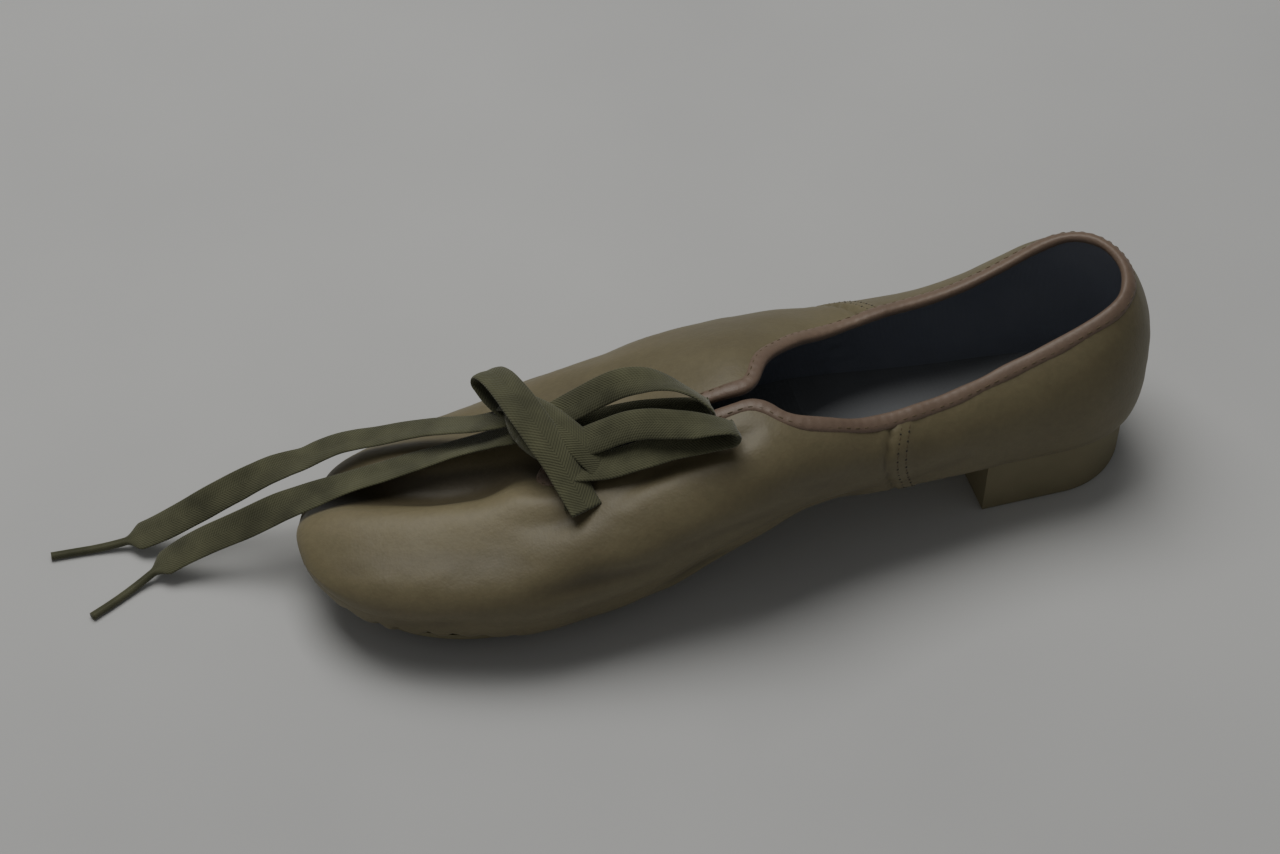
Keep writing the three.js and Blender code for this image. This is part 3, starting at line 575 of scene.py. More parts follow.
def lamp(name, direction, away, size, power, tint="ffffff"):
    """A square soft lamp that looks at the shoe from a direction."""
    made = bpy.data.objects.new(name, bpy.data.lights.new(name, "AREA"))
    made.data.size = size
    made.data.energy = power
    made.data.color = colour(tint)[:3]
    spot = Vector(unit(np.asarray(direction, float)) * away)
    made.matrix_world = Matrix.Translation(spot) @ spot.to_track_quat("Z", "Y").to_matrix().to_4x4()
    bpy.context.collection.objects.link(made)


lamp("window", 1.0 * up + 0.62 * back - 0.2 * right, 1.5, 1.0, 15, "fffdf9")
lamp("fill", -0.5 * up + 0.9 * back - 0.6 * right, 1.9, 1.4, 1.6, "fff6ea")

# %% [markdown]
# ## Ground and surroundings
#
# The shoe stands on pale paper that runs far behind it. A slow, faint mottling keeps it from looking
# computed, and a dim, even sky fills the shadows.

# %% Ground and sky
paper, tree, shader, coords = new_material("pale_ground")
smudge = add(tree, "ShaderNodeTexNoise", {"Scale": 5.0, "Detail": 5.0}, Vector=coords.outputs["Object"])
greys = {"stops": [(0.3, colour("b9baba")), (0.75, colour("c5c6c5"))]}
tint = add(tree, "ShaderNodeValToRGB", greys, Fac=smudge.outputs["Fac"])
tree.links.new(tint.outputs["Color"], shader.inputs["Base Color"])
shader.inputs["Roughness"].default_value = 0.85
floor = bpy.data.objects.new("floor", bpy.data.meshes.new("floor"))
floor.data.from_pydata([(-4, -4, 0), (4, -4, 0), (4, 4, 0), (-4, 4, 0)], [], [(0, 1, 2, 3)])
floor.data.materials.append(paper)
bpy.context.collection.objects.link(floor)
world = bpy.data.worlds.new("studio")
world.use_nodes = True
world.node_tree.nodes["Background"].inputs["Color"].default_value = colour("eeeff0")
world.node_tree.nodes["Background"].inputs["Strength"].default_value = 0.17
bpy.context.scene.world = world
print("camera at", place.round(3).tolist())

# %% [markdown]
# ## Materials
#
# Each one starts from what the real thing is. Soft garment leather has a fine pebble, faint long wrinkles
# and a low satin coat. Its colour shifts a little where it is rubbed. Moulded rubber is duller and paler,
# and a woven cotton lace scatters light with hardly any gloss. Pattern scales are given in millimetres.

# %% Leather
NOISE, WAVE, RAMP, MIX = "ShaderNodeTexNoise", "ShaderNodeTexWave", "ShaderNodeValToRGB", "ShaderNodeMix"
MATH, SPLIT = "ShaderNodeMath", "ShaderNodeSeparateXYZ"
# Settings of a mix node whose sixth and seventh inputs are colours and whose second output is the result
BLEND = {"data_type": "RGBA"}
TIMES = {"data_type": "RGBA", "blend_type": "MULTIPLY", "Factor": 1.0}


def leather_material(name, dark, light, rubbed, roughness, pebble):
    """Soft dyed leather: two close tints, rubbed high places, painted shade in the grooves, pebble, wrinkles,
    thin coat.
    """
    material, tree, shader, coords = new_material(name)
    place = coords.outputs["Object"]
    cloud = add(tree, NOISE, {"Scale": per_mm(38), "Detail": 4.0, "Roughness": 0.55}, Vector=place)
    fleck = add(tree, NOISE, {"Scale": per_mm(1.6), "Detail": 3.0}, Vector=place)
    height = add(tree, "ShaderNodeAttribute", {"attribute_name": "height"}).outputs["Fac"]
    patchy = add(tree, RAMP, {"stops": [(0.32, grey(0)), (0.68, grey(1))]}, Fac=cloud.outputs["Fac"])
    base = add(tree, MIX, {**BLEND, 6: colour(dark), 7: colour(light)}, i_0=patchy.outputs["Color"])
    worn = add(tree, RAMP, {"stops": [(0.5, grey(0)), (1.0, grey(0.55))]}, Fac=height)
    base = add(tree, MIX, {**BLEND, 7: colour(rubbed)}, i_0=worn.outputs["Color"], i_6=base.outputs[2])
    # Painted shade: where the relief is low, in creases, seam grooves and between pleats, the colour is
    # darkened down to 0.42.
    deep = add(tree, RAMP, {"stops": [(0.0, [0.42, 0.40, 0.38, 1]), (0.42, grey(1))]}, Fac=height)
    speck = add(tree, RAMP, {"stops": [(0.3, grey(0.93)), (0.7, grey(1.04))]}, Fac=fleck.outputs["Fac"])
    for layer in (deep, speck):
        base = add(tree, MIX, TIMES, i_6=base.outputs[2], i_7=layer.outputs["Color"])
    tree.links.new(base.outputs[2], shader.inputs["Base Color"])
    spread = {"To Min": roughness - 0.07, "To Max": roughness + 0.09}
    rough = add(tree, "ShaderNodeMapRange", spread, Value=cloud.outputs["Fac"])
    tree.links.new(rough.outputs["Result"], shader.inputs["Roughness"])
    shader.inputs["Coat Weight"].default_value = 0.08
    shader.inputs["Coat Roughness"].default_value = 0.38
    shader.inputs["Sheen Weight"].default_value = 0.04
    grain = {"feature": "SMOOTH_F1", "Scale": per_mm(pebble), "Smoothness": 0.6}
    cells = add(tree, "ShaderNodeTexVoronoi", grain, Vector=place)
    folds = {"Scale": per_mm(5.5), "Detail": 6.0, "Roughness": 0.62, "Distortion": 0.4}
    wrinkle = add(tree, NOISE, folds, Vector=place)
    bumps(tree, shader, [(wrinkle.outputs["Fac"], 0.35, 0.5), (cells.outputs["Distance"], 0.28, 0.12)])
    return material

# %% [markdown]
# ## Rubber
#
# Moulded rubber is dull and a little sandy. The underside of the heel also has fine slanting ribs, about
# 1.4 mm apart, which are a bump that only shows where the surface looks down.

# %% Rubber
def rubber_material(name, code, worn, ribs=None):
    """Moulded rubber: one tint with dull wear, a fine sandy skin and, if asked, slanting ribs underneath."""
    material, tree, shader, coords = new_material(name)
    place = coords.outputs["Object"]
    cloud = add(tree, NOISE, {"Scale": per_mm(22), "Detail": 5.0}, Vector=place)
    patchy = add(tree, RAMP, {"stops": [(0.35, grey(0)), (0.7, grey(1))]}, Fac=cloud.outputs["Fac"])
    base = add(tree, MIX, {**BLEND, 6: colour(code), 7: colour(worn)}, i_0=patchy.outputs["Color"])
    tree.links.new(base.outputs[2], shader.inputs["Base Color"])
    shader.inputs["Roughness"].default_value = 0.68
    shader.inputs["Specular IOR Level"].default_value = 0.35
    sand = add(tree, NOISE, {"Scale": per_mm(0.5), "Detail": 2.0}, Vector=place)
    layers = [(sand.outputs["Fac"], 0.25, 0.08)]
    if ribs:
        turned = add(tree, "ShaderNodeMapping", {"Rotation": (0, 0, math.radians(24))}, Vector=place)
        # At a scale of one, a wave repeats every 2 pi / 20 units
        bands = {"bands_direction": "X", "wave_profile": "SIN", "Scale": per_mm(ribs) / 20 * math.pi * 2}
        wobble = {"Distortion": 1.6, "Detail": 2.0, "Detail Scale": 1.4}
        wave = add(tree, WAVE, {**bands, **wobble}, Vector=turned.outputs["Vector"])
        facing = add(tree, "ShaderNodeNewGeometry")
        split = add(tree, SPLIT, None, Vector=facing.outputs["Normal"])
        down = add(tree, MATH, {"operation": "LESS_THAN", 1: -0.9}, i_0=split.outputs["Z"])
        high = add(tree, MATH, {"operation": "MULTIPLY"}, i_0=wave.outputs["Fac"], i_1=down.outputs[0])
        layers.append((high.outputs[0], 0.7, 0.18))
    bumps(tree, shader, layers)
    return material

# %% [markdown]
# ## Lace cotton
#
# A flat woven lace shows threads that slant from both edges to its middle. They follow the ribbon and not
# the room, so the pattern reads the ribbon's own map of its width and length.

# %% Lace cotton
def lace_material():
    """Flat cotton lace: threads that slant to its middle, fine lines along it, a matt and cloudy nap."""
    material, tree, shader, coords = new_material("lace_cotton")
    place = coords.outputs["Object"]
    uv = add(tree, "ShaderNodeUVMap", {"uv_map": "across"})
    split = add(tree, SPLIT, None, Vector=uv.outputs["UV"])
    across, along = split.outputs["X"], split.outputs["Y"]
    aside = add(tree, MATH, {"operation": "SUBTRACT", 1: 0.5}, i_0=across)
    fold = add(tree, MATH, {"operation": "ABSOLUTE"}, i_0=aside.outputs[0])
    slanting = add(tree, MATH, {"operation": "MULTIPLY_ADD", 1: 0.9}, i_0=fold.outputs[0], i_2=along)
    slanted = add(tree, MATH, {"operation": "MULTIPLY", 1: 62.0}, i_0=slanting.outputs[0])
    threads = add(tree, MATH, {"operation": "SINE"}, i_0=slanted.outputs[0])
    straight = add(tree, MATH, {"operation": "MULTIPLY", 1: 75.0}, i_0=across)
    lines = add(tree, MATH, {"operation": "SINE"}, i_0=straight.outputs[0])
    woven = {"operation": "MULTIPLY_ADD", 1: 0.45}
    weave = add(tree, MATH, woven, i_0=lines.outputs[0], i_2=threads.outputs[0])
    cloud = add(tree, NOISE, {"Scale": per_mm(9), "Detail": 4.0}, Vector=place)
    fuzz = add(tree, NOISE, {"Scale": per_mm(0.35), "Detail": 2.0}, Vector=place)
    patchy = add(tree, RAMP, {"stops": [(0.3, grey(0)), (0.7, grey(1))]}, Fac=cloud.outputs["Fac"])
    base = add(tree, MIX, {**BLEND, 6: colour("484936"), 7: colour("606149")}, i_0=patchy.outputs["Color"])
    share = add(tree, "ShaderNodeMapRange", {"From Min": -1.4, "From Max": 1.4}, Value=weave.outputs[0])
    shades = {"stops": [(0.0, [0.78, 0.78, 0.76, 1]), (1.0, grey(1.08))]}
    tone = add(tree, RAMP, shades, Fac=share.outputs["Result"])
    shade = add(tree, MIX, TIMES, i_6=base.outputs[2], i_7=tone.outputs["Color"])
    tree.links.new(shade.outputs[2], shader.inputs["Base Color"])
    shader.inputs["Roughness"].default_value = 0.88
    shader.inputs["Sheen Weight"].default_value = 0.25
    shader.inputs["Specular IOR Level"].default_value = 0.25
    bumps(tree, shader, [(weave.outputs[0], 0.5, 0.12), (fuzz.outputs["Fac"], 0.3, 0.08)])
    return material

# %% [markdown]
# ## Lining, thread and the finished set
#
# The lining is a thin blue-grey cotton and the thread is waxed. With them the set is complete, and each
# material gets its colours here, in one place, where they are easy to compare.

# %% Lining, thread and colours
def cloth_material(name, dark, light):
    """Thin woven lining: two crossed sets of threads and a dull nap."""
    material, tree, shader, coords = new_material(name)
    place = coords.outputs["Object"]
    one, two = [
        add(tree, WAVE, {"bands_direction": way, "Scale": per_mm(0.7) / 6.3}, Vector=place) for way in "XY"
    ]
    weave = add(tree, MATH, {"operation": "ADD"}, i_0=one.outputs["Fac"], i_1=two.outputs["Fac"])
    cloud = add(tree, NOISE, {"Scale": per_mm(25), "Detail": 3.0}, Vector=place)
    base = add(tree, MIX, {**BLEND, 6: colour(dark), 7: colour(light)}, i_0=cloud.outputs["Fac"])
    tree.links.new(base.outputs[2], shader.inputs["Base Color"])
    shader.inputs["Roughness"].default_value = 0.92
    bumps(tree, shader, [(weave.outputs[0], 0.3, 0.1)])
    return material


def thread_material(name, code):
    """Waxed sewing thread: one tint, a twist bump and a small gloss."""
    material, tree, shader, coords = new_material(name)
    shader.inputs["Base Color"].default_value = colour(code)
    shader.inputs["Roughness"].default_value = 0.6
    twist = add(tree, NOISE, {"Scale": per_mm(0.3), "Detail": 1.0}, Vector=coords.outputs["Object"])
    bumps(tree, shader, [(twist.outputs["Fac"], 0.4, 0.06)])
    return material


leather = leather_material("tan_leather", "635b42", "70684c", "80775b", 0.55, 0.75)
binding_leather = leather_material("binding_leather", "6a584a", "756353", "827061", 0.52, 0.6)
sole_rubber = rubber_material("sole_rubber", "757058", "807a62")
heel_rubber = rubber_material("heel_rubber", "767057", "827b62", ribs=1.4)
lace_cotton = lace_material()
lining_cloth = cloth_material("lining_cloth", "7c818d", "91959f")
sock_cloth = cloth_material("sock_cloth", "6c6f72", "808284")
thread = thread_material("tan_thread", "5d5039")
# A dark colour for small capsules that stand for painted shade in the needle holes.
painted_hole_shade = thread_material("painted_shade_in_holes", "2f2a1f")
print("materials:", len(bpy.data.materials))

# %% [markdown]
# ## Lace
#
# A flat lace is a ribbon: a line in space, the lean of its width at each point and a thin rounded
# section. The rows below are the route, chosen beside the photo. The same function makes the bar
# across the throat, the wraps of the knot, the two loops and the two loose ends.

# %% Routes of the lace
# x, y from where the ridge would lie without its lean, and z in mm, lean of the width in degrees, curl in mm
FAR_LOOP = [
    (175.5, -9.5, 50.5, 10, 0.0), (171.7, -10.0, 52.3, 18, 0.1), (167.1, -9.6, 55.8, 24, 0.2),
    (161.7, -9.4, 59.6, 26, 0.3), (156.2, -9.1, 62.6, 20, 0.4), (150.9, -7.6, 64.6, 4, 0.4),
    (147.4, -6.0, 65.3, -10, 0.3), (144.0, -4.1, 65.4, -20, 0.2), (141.0, -2.1, 64.9, -26, 0.1),
    (138.2, 0.0, 63.9, -26, 0.0), (136.0, 1.6, 62.3, -18, 0.0), (135.4, 2.0, 60.6, -8, 0.0),
    (137.0, 1.4, 59.3, 0, 0.1), (141.0, -0.6, 58.2, 4, 0.2), (146.0, -2.4, 56.9, 4, 0.3),
    (152.0, -3.9, 55.2, 3, 0.3), (158.0, -5.2, 53.2, 2, 0.2), (164.0, -6.4, 50.9, 0, 0.1),
    (169.0, -7.3, 49.3, 0, 0.0), (173.5, -7.9, 48.7, 0, 0.0),
]
NEAR_LOOP = [
    (174.5, 2.6, 50.6, 10, 0.0), (171.0, 2.2, 51.8, 16, 0.1), (168.2, 2.2, 53.2, 22, 0.3),
    (163.8, 2.9, 56.0, 28, 0.4), (158.3, 3.5, 58.8, 30, 0.5), (153.8, 4.9, 60.8, 28, 0.5),
    (149.3, 6.9, 62.3, 22, 0.4), (145.6, 8.3, 63.1, 14, 0.3), (142.1, 9.6, 63.7, 4, 0.2),
    (139.0, 10.6, 64.1, -6, 0.1), (136.2, 11.6, 64.3, -14, 0.0), (133.6, 12.3, 64.1, -18, 0.0),
    (131.9, 12.7, 63.1, -12, 0.0), (132.6, 12.6, 61.6, 0, 0.0), (135.6, 11.9, 60.4, 10, 0.1),
    (140.1, 10.8, 59.0, 14, 0.2), (145.0, 10.1, 57.4, 16, 0.3), (150.0, 9.6, 55.6, 16, 0.3),
    (155.0, 9.3, 53.6, 14, 0.2), (160.1, 9.0, 51.6, 12, 0.1), (165.0, 8.7, 50.0, 10, 0.0),
    (169.5, 8.2, 49.1, 8, 0.0), (173.5, 7.8, 48.8, 6, 0.0),
]
FAR_END = [
    (183.0, -14.2, 49.3, -8, 0.0), (186.5, -14.5, 47.6, -16, 0.1), (190.0, -15.4, 45.7, -22, 0.2),
    (194.5, -17.1, 43.4, -23, 0.3), (199.5, -19.7, 41.0, -22, 0.4), (205.0, -22.4, 38.5, -20, 0.4),
    (211.5, -24.2, 36.1, -16, 0.4), (218.6, -25.1, 34.0, -12, 0.4), (224.5, -25.9, 32.7, -10, 0.4),
    (229.5, -26.4, 31.6, -9, 0.4), (234.5, -26.1, 30.4, -7, 0.4), (239.4, -25.6, 28.9, -4, 0.4),
    (244.0, -26.4, 27.0, 4, 0.4), (248.7, -27.5, 24.6, 14, 0.4), (253.6, -28.2, 21.9, 24, 0.4),
    (258.6, -28.7, 19.1, 31, 0.4), (263.6, -29.2, 16.2, 35, 0.4), (268.6, -29.5, 13.3, 34, 0.4),
    (273.5, -29.8, 10.5, 28, 0.3), (278.5, -30.1, 7.8, 20, 0.3), (283.5, -30.7, 5.3, 12, 0.2),
    (288.3, -31.5, 3.2, 6, 0.1), (293.4, -32.1, 1.9, 2, 0.0), (299.0, -32.6, 1.2, 0, 0.0),
    (305.0, -33.0, 1.1, 0, 0.0), (311.0, -33.3, 1.1, 0, 0.0),
]
NEAR_END = [
    (181.5, -9.3, 47.9, -6, 0.0), (185.0, -9.7, 46.0, -14, 0.1), (188.4, -10.9, 43.9, -20, 0.2),
    (192.5, -12.3, 41.3, -22, 0.3), (196.8, -13.5, 38.9, -22, 0.4), (201.0, -14.4, 36.9, -20, 0.4),
    (207.0, -14.7, 34.8, -16, 0.4), (213.6, -14.4, 33.2, -12, 0.4), (220.0, -13.6, 32.0, -10, 0.4),
    (226.8, -13.2, 30.9, -8, 0.4), (232.6, -13.3, 29.4, -4, 0.4), (238.4, -13.7, 27.4, 4, 0.4),
    (243.6, -14.6, 24.9, 14, 0.4), (248.6, -15.7, 22.2, 25, 0.4), (253.4, -16.4, 19.6, 33, 0.4),
    (258.0, -17.0, 17.1, 37, 0.4), (263.0, -17.9, 14.4, 36, 0.4), (268.0, -18.8, 11.7, 30, 0.3),
    (272.3, -19.4, 9.3, 22, 0.2), (276.5, -19.7, 7.0, 13, 0.1), (281.0, -19.3, 4.8, 6, 0.0),
    (285.4, -18.1, 2.9, 2, 0.0), (289.5, -16.4, 1.7, 0, 0.0), (294.0, -14.1, 1.2, 0, 0.0),
    (299.0, -11.5, 1.1, 0, 0.0), (304.0, -9.1, 1.1, 0, 0.0),
]


print("rows in the routes:", [len(r) for r in (FAR_LOOP, NEAR_LOOP, FAR_END, NEAR_END)])

# %% [markdown]
# ## Wraps of the knot
#
# The knot is two short bands over a core. The broad one begins in a small open fold on the far side,
# crosses over and ends in a flap on the near side. The other lies behind it and fills the gap beside the
# loops.

# %% Routes of the knot's bands
# Wraps of the knot: the broad slanting band with its small open fold, and the band behind it
BROAD_WRAP = [
    (181.0, -14.5, 47.6, 0, 0.0), (184.0, -19.0, 46.8, -8, 0.1), (186.6, -24.0, 47.4, -14, 0.2),
    (188.0, -27.3, 49.8, -16, 0.1), (187.6, -26.9, 52.9, -12, 0.1), (186.0, -22.6, 55.2, -4, 0.2),
    (184.4, -16.0, 56.6, 2, 0.4), (183.0, -10.0, 56.9, 6, 0.5), (181.5, -4.2, 56.4, 8, 0.6),
    (179.7, 0.9, 54.8, 10, 0.6), (177.8, 5.3, 52.4, 10, 0.5), (176.2, 9.2, 49.6, 8, 0.3),
    (174.9, 12.8, 47.2, 4, 0.2), (173.8, 16.0, 45.2, 0, 0.1), (172.9, 18.8, 43.9, -4, 0.0),
]
BACK_WRAP = [
    (184.0, -18.8, 48.8, 0, 0.0), (182.6, -16.0, 51.3, 0, 0.2), (180.6, -12.2, 53.8, 2, 0.4),
    (177.8, -7.4, 55.2, 4, 0.6), (174.6, -2.4, 55.1, 6, 0.6), (171.4, 1.8, 53.6, 8, 0.5),
    (168.6, 5.0, 51.6, 8, 0.3), (166.4, 7.6, 49.8, 6, 0.1), (165.8, 9.2, 48.6, 4, 0.0),
]

# %% [markdown]
# ## From a route to a ribbon
#
# At each point of the route a rounded flat section is turned by its lean and bent by its curl. Loose ends
# are drawn in to a thin tip, as the bound tip of a real lace is.

# %% Making a ribbon
def top_height(x, y):
    """Height of the last's top at a place seen from above, found by trying the rise until the side fits."""
    s = section(x)
    rise = np.ones_like(s["half"] * y)
    for _ in range(20):
        out = np.clip(np.abs(y - s["middle"] - s["lean"] * rise) / s["half"], 0, 1)
        rise = (1 - out**CROWN_POWER) ** (1 / CROWN_POWER)
    turn = np.arcsin(np.clip(rise, 0, 1) ** (CROWN_POWER / 2))
    w = (LOWER + (1 - LOWER) * turn / (np.pi / 2)) * np.where(y < s["middle"] + s["lean"] * rise, -1, 1)
    return last(x, w)[..., 2]


def ribbon(name, rows, side, count, wide=LACE_WIDE, thick=LACE_THICK, tip=0.0):
    """A flat lace along its rows: a thin rounded section at each point, turned by lean and bent by curl.

    Its width points to one side. Where a tip is asked for, the section is drawn in to a thin round one.
    """
    rows = np.asarray(rows, float)
    rows = np.column_stack([rows[:, 0], rows[:, 1] + section(rows[:, 0])["lean"], rows[:, 2:]])
    line, length = catmull(rows, count)
    centre, lean, curl = line[:, :3], np.radians(line[:, 3]), line[:, 4]
    tangent = unit(np.gradient(centre, axis=0))
    width = np.cos(lean)[:, None] * np.asarray(side, float) - np.sin(lean)[:, None] * np.array([0, 0, 1.0])
    width = unit(width - tangent * (width * tangent).sum(-1, keepdims=True))
    flat = np.cross(tangent, width)
    turn = np.linspace(0, 2 * np.pi, 28, endpoint=False)
    across = np.sign(np.cos(turn)) * np.abs(np.cos(turn)) ** 0.62
    lift = np.sign(np.sin(turn)) * np.abs(np.sin(turn)) ** 0.75
    lift = lift * (1 - 0.28 * bell(across, 0.22) - 0.1 * across**4)
    pull = 1 + 0.025 * ripple(centre * 1.0, 14, len(name))
    walked = np.linspace(0, length, count)
    drawn = smooth(walked, length - tip - 5, length - tip) if tip else np.zeros(count)
    spans = wide * pull * (1 - drawn) + TIP_WIDE * drawn
    thicks = thick * (1 - drawn) + 0.9 * TIP_WIDE * drawn
    points = centre[:, None] + width[:, None] * (across[None] * spans[:, None] / 2)[..., None]
    rise = lift[None] * thicks[:, None] / 2 + (curl * (1 - drawn))[:, None] * (across[None] ** 2 - 0.35)
    points = points + flat[:, None] * rise[..., None]
    uvs = np.stack(np.broadcast_arrays((across[None] + 1) / 2, walked[:, None] / wide), -1)
    faces = grid_faces(count, len(turn), close=True).tolist()
    last_ring = (count - 1) * len(turn)
    faces += [list(range(len(turn)))[::-1], [last_ring + k for k in range(len(turn))]]
    made = make_object(name, points, faces, lace_cotton, uvs)
    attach(made, "root")
    return made, (centre + SHIFT) * MM, length * MM


def join_objects(name, parts):
    """One object from several, with their meshes copied into one."""
    joined = bmesh.new()
    for part in parts:
        joined.from_mesh(part.data)
    parts[0].data.clear_geometry()
    joined.to_mesh(parts[0].data)
    joined.free()
    parts[0].name = name
    for part in parts[1:]:
        bpy.data.objects.remove(part)
    parts[0].data.shade_smooth()
    return parts[0]

# %% [markdown]
# ## Bar, knot and cords
#
# The bar crosses the throat between the front holes and dips into them at both sides. The bands and the
# core become one knot. The loops and ends hang free, and each is made from its own route, with its length
# printed.

# %% Bar and knot
INNER, TOE = (0, 1, 0), (1, 0, 0)
middle = float(ridge_line(EYELET_AT))
hole = float(throat_half(EYELET_AT)) + 7
bar_rows = []
for y in np.linspace(middle + hole + 2.6, middle - hole - 2.6, 13):
    spread = abs(y - middle) / (hole + 2.6)
    z = float(max(top_height(EYELET_AT - 4, y), top_height(EYELET_AT + 4, y))) + 1.5
    dive = 0.8 * bell(spread - 0.72, 0.12) - 2.4 * smooth(spread, 0.86, 1.0)
    bar_rows.append((EYELET_AT, y - float(section(EYELET_AT)["lean"]), z + dive, 0, 0.2))
bar, _, _ = ribbon("bar_of_lace", bar_rows, TOE, 60)
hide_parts("lace_bar")

slant = unit(np.array([0.94, 0.34, 0.0]))
broad, _, _ = ribbon("knot_of_lace", BROAD_WRAP, slant, 110, wide=9.8, thick=1.4)
behind, _, _ = ribbon("wrap_behind", BACK_WRAP, unit(np.array([0.88, 0.47, 0.0])), 90, wide=8.6, thick=1.3)
# The core of the knot: a ball pressed flat, turned by 20 degrees
around, high = np.meshgrid(np.linspace(0, 2 * np.pi, 25)[:-1], np.linspace(-1, 1, 13) * np.pi / 2)
core = np.stack([np.cos(high) * np.cos(around), np.cos(high) * np.sin(around), np.sin(high)], -1)
core = core * np.array([7.4, 13, 3.9])
core = core @ np.array(Matrix.Rotation(math.radians(-20), 3, "Z"))
core = core + np.array([EYELET_AT + 5, middle - 7.6, 50.4])
core_uvs, core_faces = np.stack([around / 4, high], -1), grid_faces(13, 24, close=True)
inside = make_object("inside_of_knot", core, core_faces, lace_cotton, core_uvs, merge=0.01)
knot = join_objects("knot_of_lace", [broad, behind, inside])
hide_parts("lace_knot")

CORDS = [
    ("far_loop_of_lace", FAR_LOOP, "lace_loop_far", "object", 170),
    ("near_loop_of_lace", NEAR_LOOP, "lace_loop_near", "object", 170),
    ("far_end_of_lace", FAR_END, "lace_end_far", "bare", 190),
    ("near_end_of_lace", NEAR_END, "lace_end_near", "bare", 190),
]
for name, rows, node, finish, count in CORDS:
    made, line, length = ribbon(name, rows, INNER, count, tip=TIP_LONG if finish == "bare" else 0.0)
    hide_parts(node)
    print(name, "length", round(length / MM, 1), "mm")

# %% [markdown]
# ## Upper
#
# The leather is one grid of points: rows run from heel to toe, and each row goes from the inner edge of
# the opening down, under the foot and up to the outer edge. Where the top is closed the two edges are the
# same line, so doubled points are merged. The rows crowd together at both ends of the opening, where its
# outline turns.

# %% Upper
def stations(count, extra):
    """Places along the foot: closer at both ends and at the two ends of the opening."""
    base = LENGTH * (1 - np.cos(np.linspace(0, np.pi, count))) / 2
    creep = (np.arange(1, extra + 1) / extra) ** 2
    back, front = COLLAR_BACK + 5 * creep, THROAT_FRONT - 4 * creep
    near = [COLLAR_BACK, *back, THROAT_FRONT, *front, COLLAR_FRONT]
    keep = base[np.min(np.abs(base[:, None] - np.array(near)), axis=1) > 0.25]
    return np.unique(np.concatenate([keep, near]))


def wall_grid(rows, columns, inset):
    """Points of the wall at an inset, with its relief as an attribute of how high each point stands."""
    x = stations(rows, 9)[:, None]
    w = edge_of(x) * np.linspace(1, -1, columns)[None]
    p, n = last(x, w), last_normal(x, w)
    lift = relief(p, n)
    return p + n * (lift - inset)[..., None], lift


def set_height(made, values):
    """Stores one number a point, which the material reads as painted shade below a half and rubbed wear above
    it.
    """
    layer = made.data.attributes.new("height", "FLOAT", "POINT")
    layer.data.foreach_set("value", np.asarray(values, np.float32).ravel())


points, lift = wall_grid(292, 306, 0.0)
upper = make_object("leather_upper", points, grid_faces(*points.shape[:2]), leather)
# The relief without its slow waves: painted shade where it is low, rubbed wear where it is high.
fine = lift - 0.5 * ripple(points, 46, 3)
set_height(upper, np.clip(0.5 + fine * 0.36, 0, 1))
merged = bmesh.new()
merged.from_mesh(upper.data)
bmesh.ops.remove_doubles(merged, verts=merged.verts, dist=0.004 * MM)
merged.to_mesh(upper.data)
merged.free()
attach(upper, "root")
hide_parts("upper")

# %% [markdown]
# ## Lining and insole
#
# The inside of the wall is the same surface again, moved in by the thickness of the leather and with its
# faces turned round. The insole is the exact solid itself and only gets its cloth.

# %% Lining and insole
points, _ = wall_grid(150, 120, WALL + 0.15)
lining_faces = grid_faces(len(points) - 8, points.shape[1])[:, ::-1]
lining = make_object("cloth_lining", points[4:-4], lining_faces, lining_cloth)
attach(lining, "root")
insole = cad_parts["insole"]
insole.data.materials.clear()
insole.data.materials.append(sock_cloth)
print("upper faces", len(upper.data.polygons), "lining faces", len(lining.data.polygons))

# %% [markdown]
# ## Binding and stitches
#
# A strip of leather is folded over the cut edge and sewn. Its path is the edge itself, its section a
# rounded strip that stands across the wall. Stitches are short bent capsules, all made at once from one
# small pattern that is copied to many places by arrays. Dark capsules between them are painted shade
# where the needle holes are.

# %% Binding
def loop_path(count):
    """The closed line of the top edge, evenly spaced and slightly smoothed, with the leather's normals."""
    t = (1 - np.cos(np.pi * (np.arange(240) + 0.5) / 240)) / 2
    x = COLLAR_BACK + (THROAT_FRONT - COLLAR_BACK) * t
    x = np.concatenate([x, x[::-1]])
    w = np.concatenate([edge_of(x[:240]), -edge_of(x[240:])])
    p, n, _ = skin(x, w)
    both = np.concatenate([p, n], -1)
    ring = np.concatenate([both, both[:1]])
    walked = np.concatenate([[0], np.cumsum(np.linalg.norm(np.diff(ring[:, :3], axis=0), axis=1))])
    wanted = np.linspace(0, walked[-1], count, endpoint=False)
    even = np.stack([np.interp(wanted, walked, column) for column in ring.T], -1)
    window = 7
    even = sum(np.roll(even, k, axis=0) for k in range(-window, window + 1)) / (2 * window + 1)
    return even[:, :3], unit(even[:, 3:]), walked[-1]


count = 640
edge, out_of, around = loop_path(count)
along = unit(np.roll(edge, -1, axis=0) - np.roll(edge, 1, axis=0))
out_of = unit(out_of - along * (out_of * along).sum(-1, keepdims=True))
down = np.cross(out_of, along)
turn = np.linspace(0, 2 * np.pi, 20, endpoint=False)
thick = np.sign(np.cos(turn)) * np.abs(np.cos(turn)) ** 0.8 * 1.5
high = np.sign(np.sin(turn)) * np.abs(np.sin(turn)) ** 0.9 * 2.25
pitch = around / round(around / 2.9)
pull = 0.03 * np.cos(2 * np.pi * np.arange(count) * around / count / pitch)
soft = 0.07 * ripple(edge, 13, 21)
points = edge[:, None] + out_of[:, None] * (thick[None] * (1 + pull + soft)[:, None] - WALL / 2)[..., None]
points = points + down[:, None] * (high[None] * (1 + soft)[:, None] + 0.1)[..., None]
faces = grid_faces(count + 1, 20, close=True) % (count * 20)
binding = make_object("collar_strip", points, faces, binding_leather)
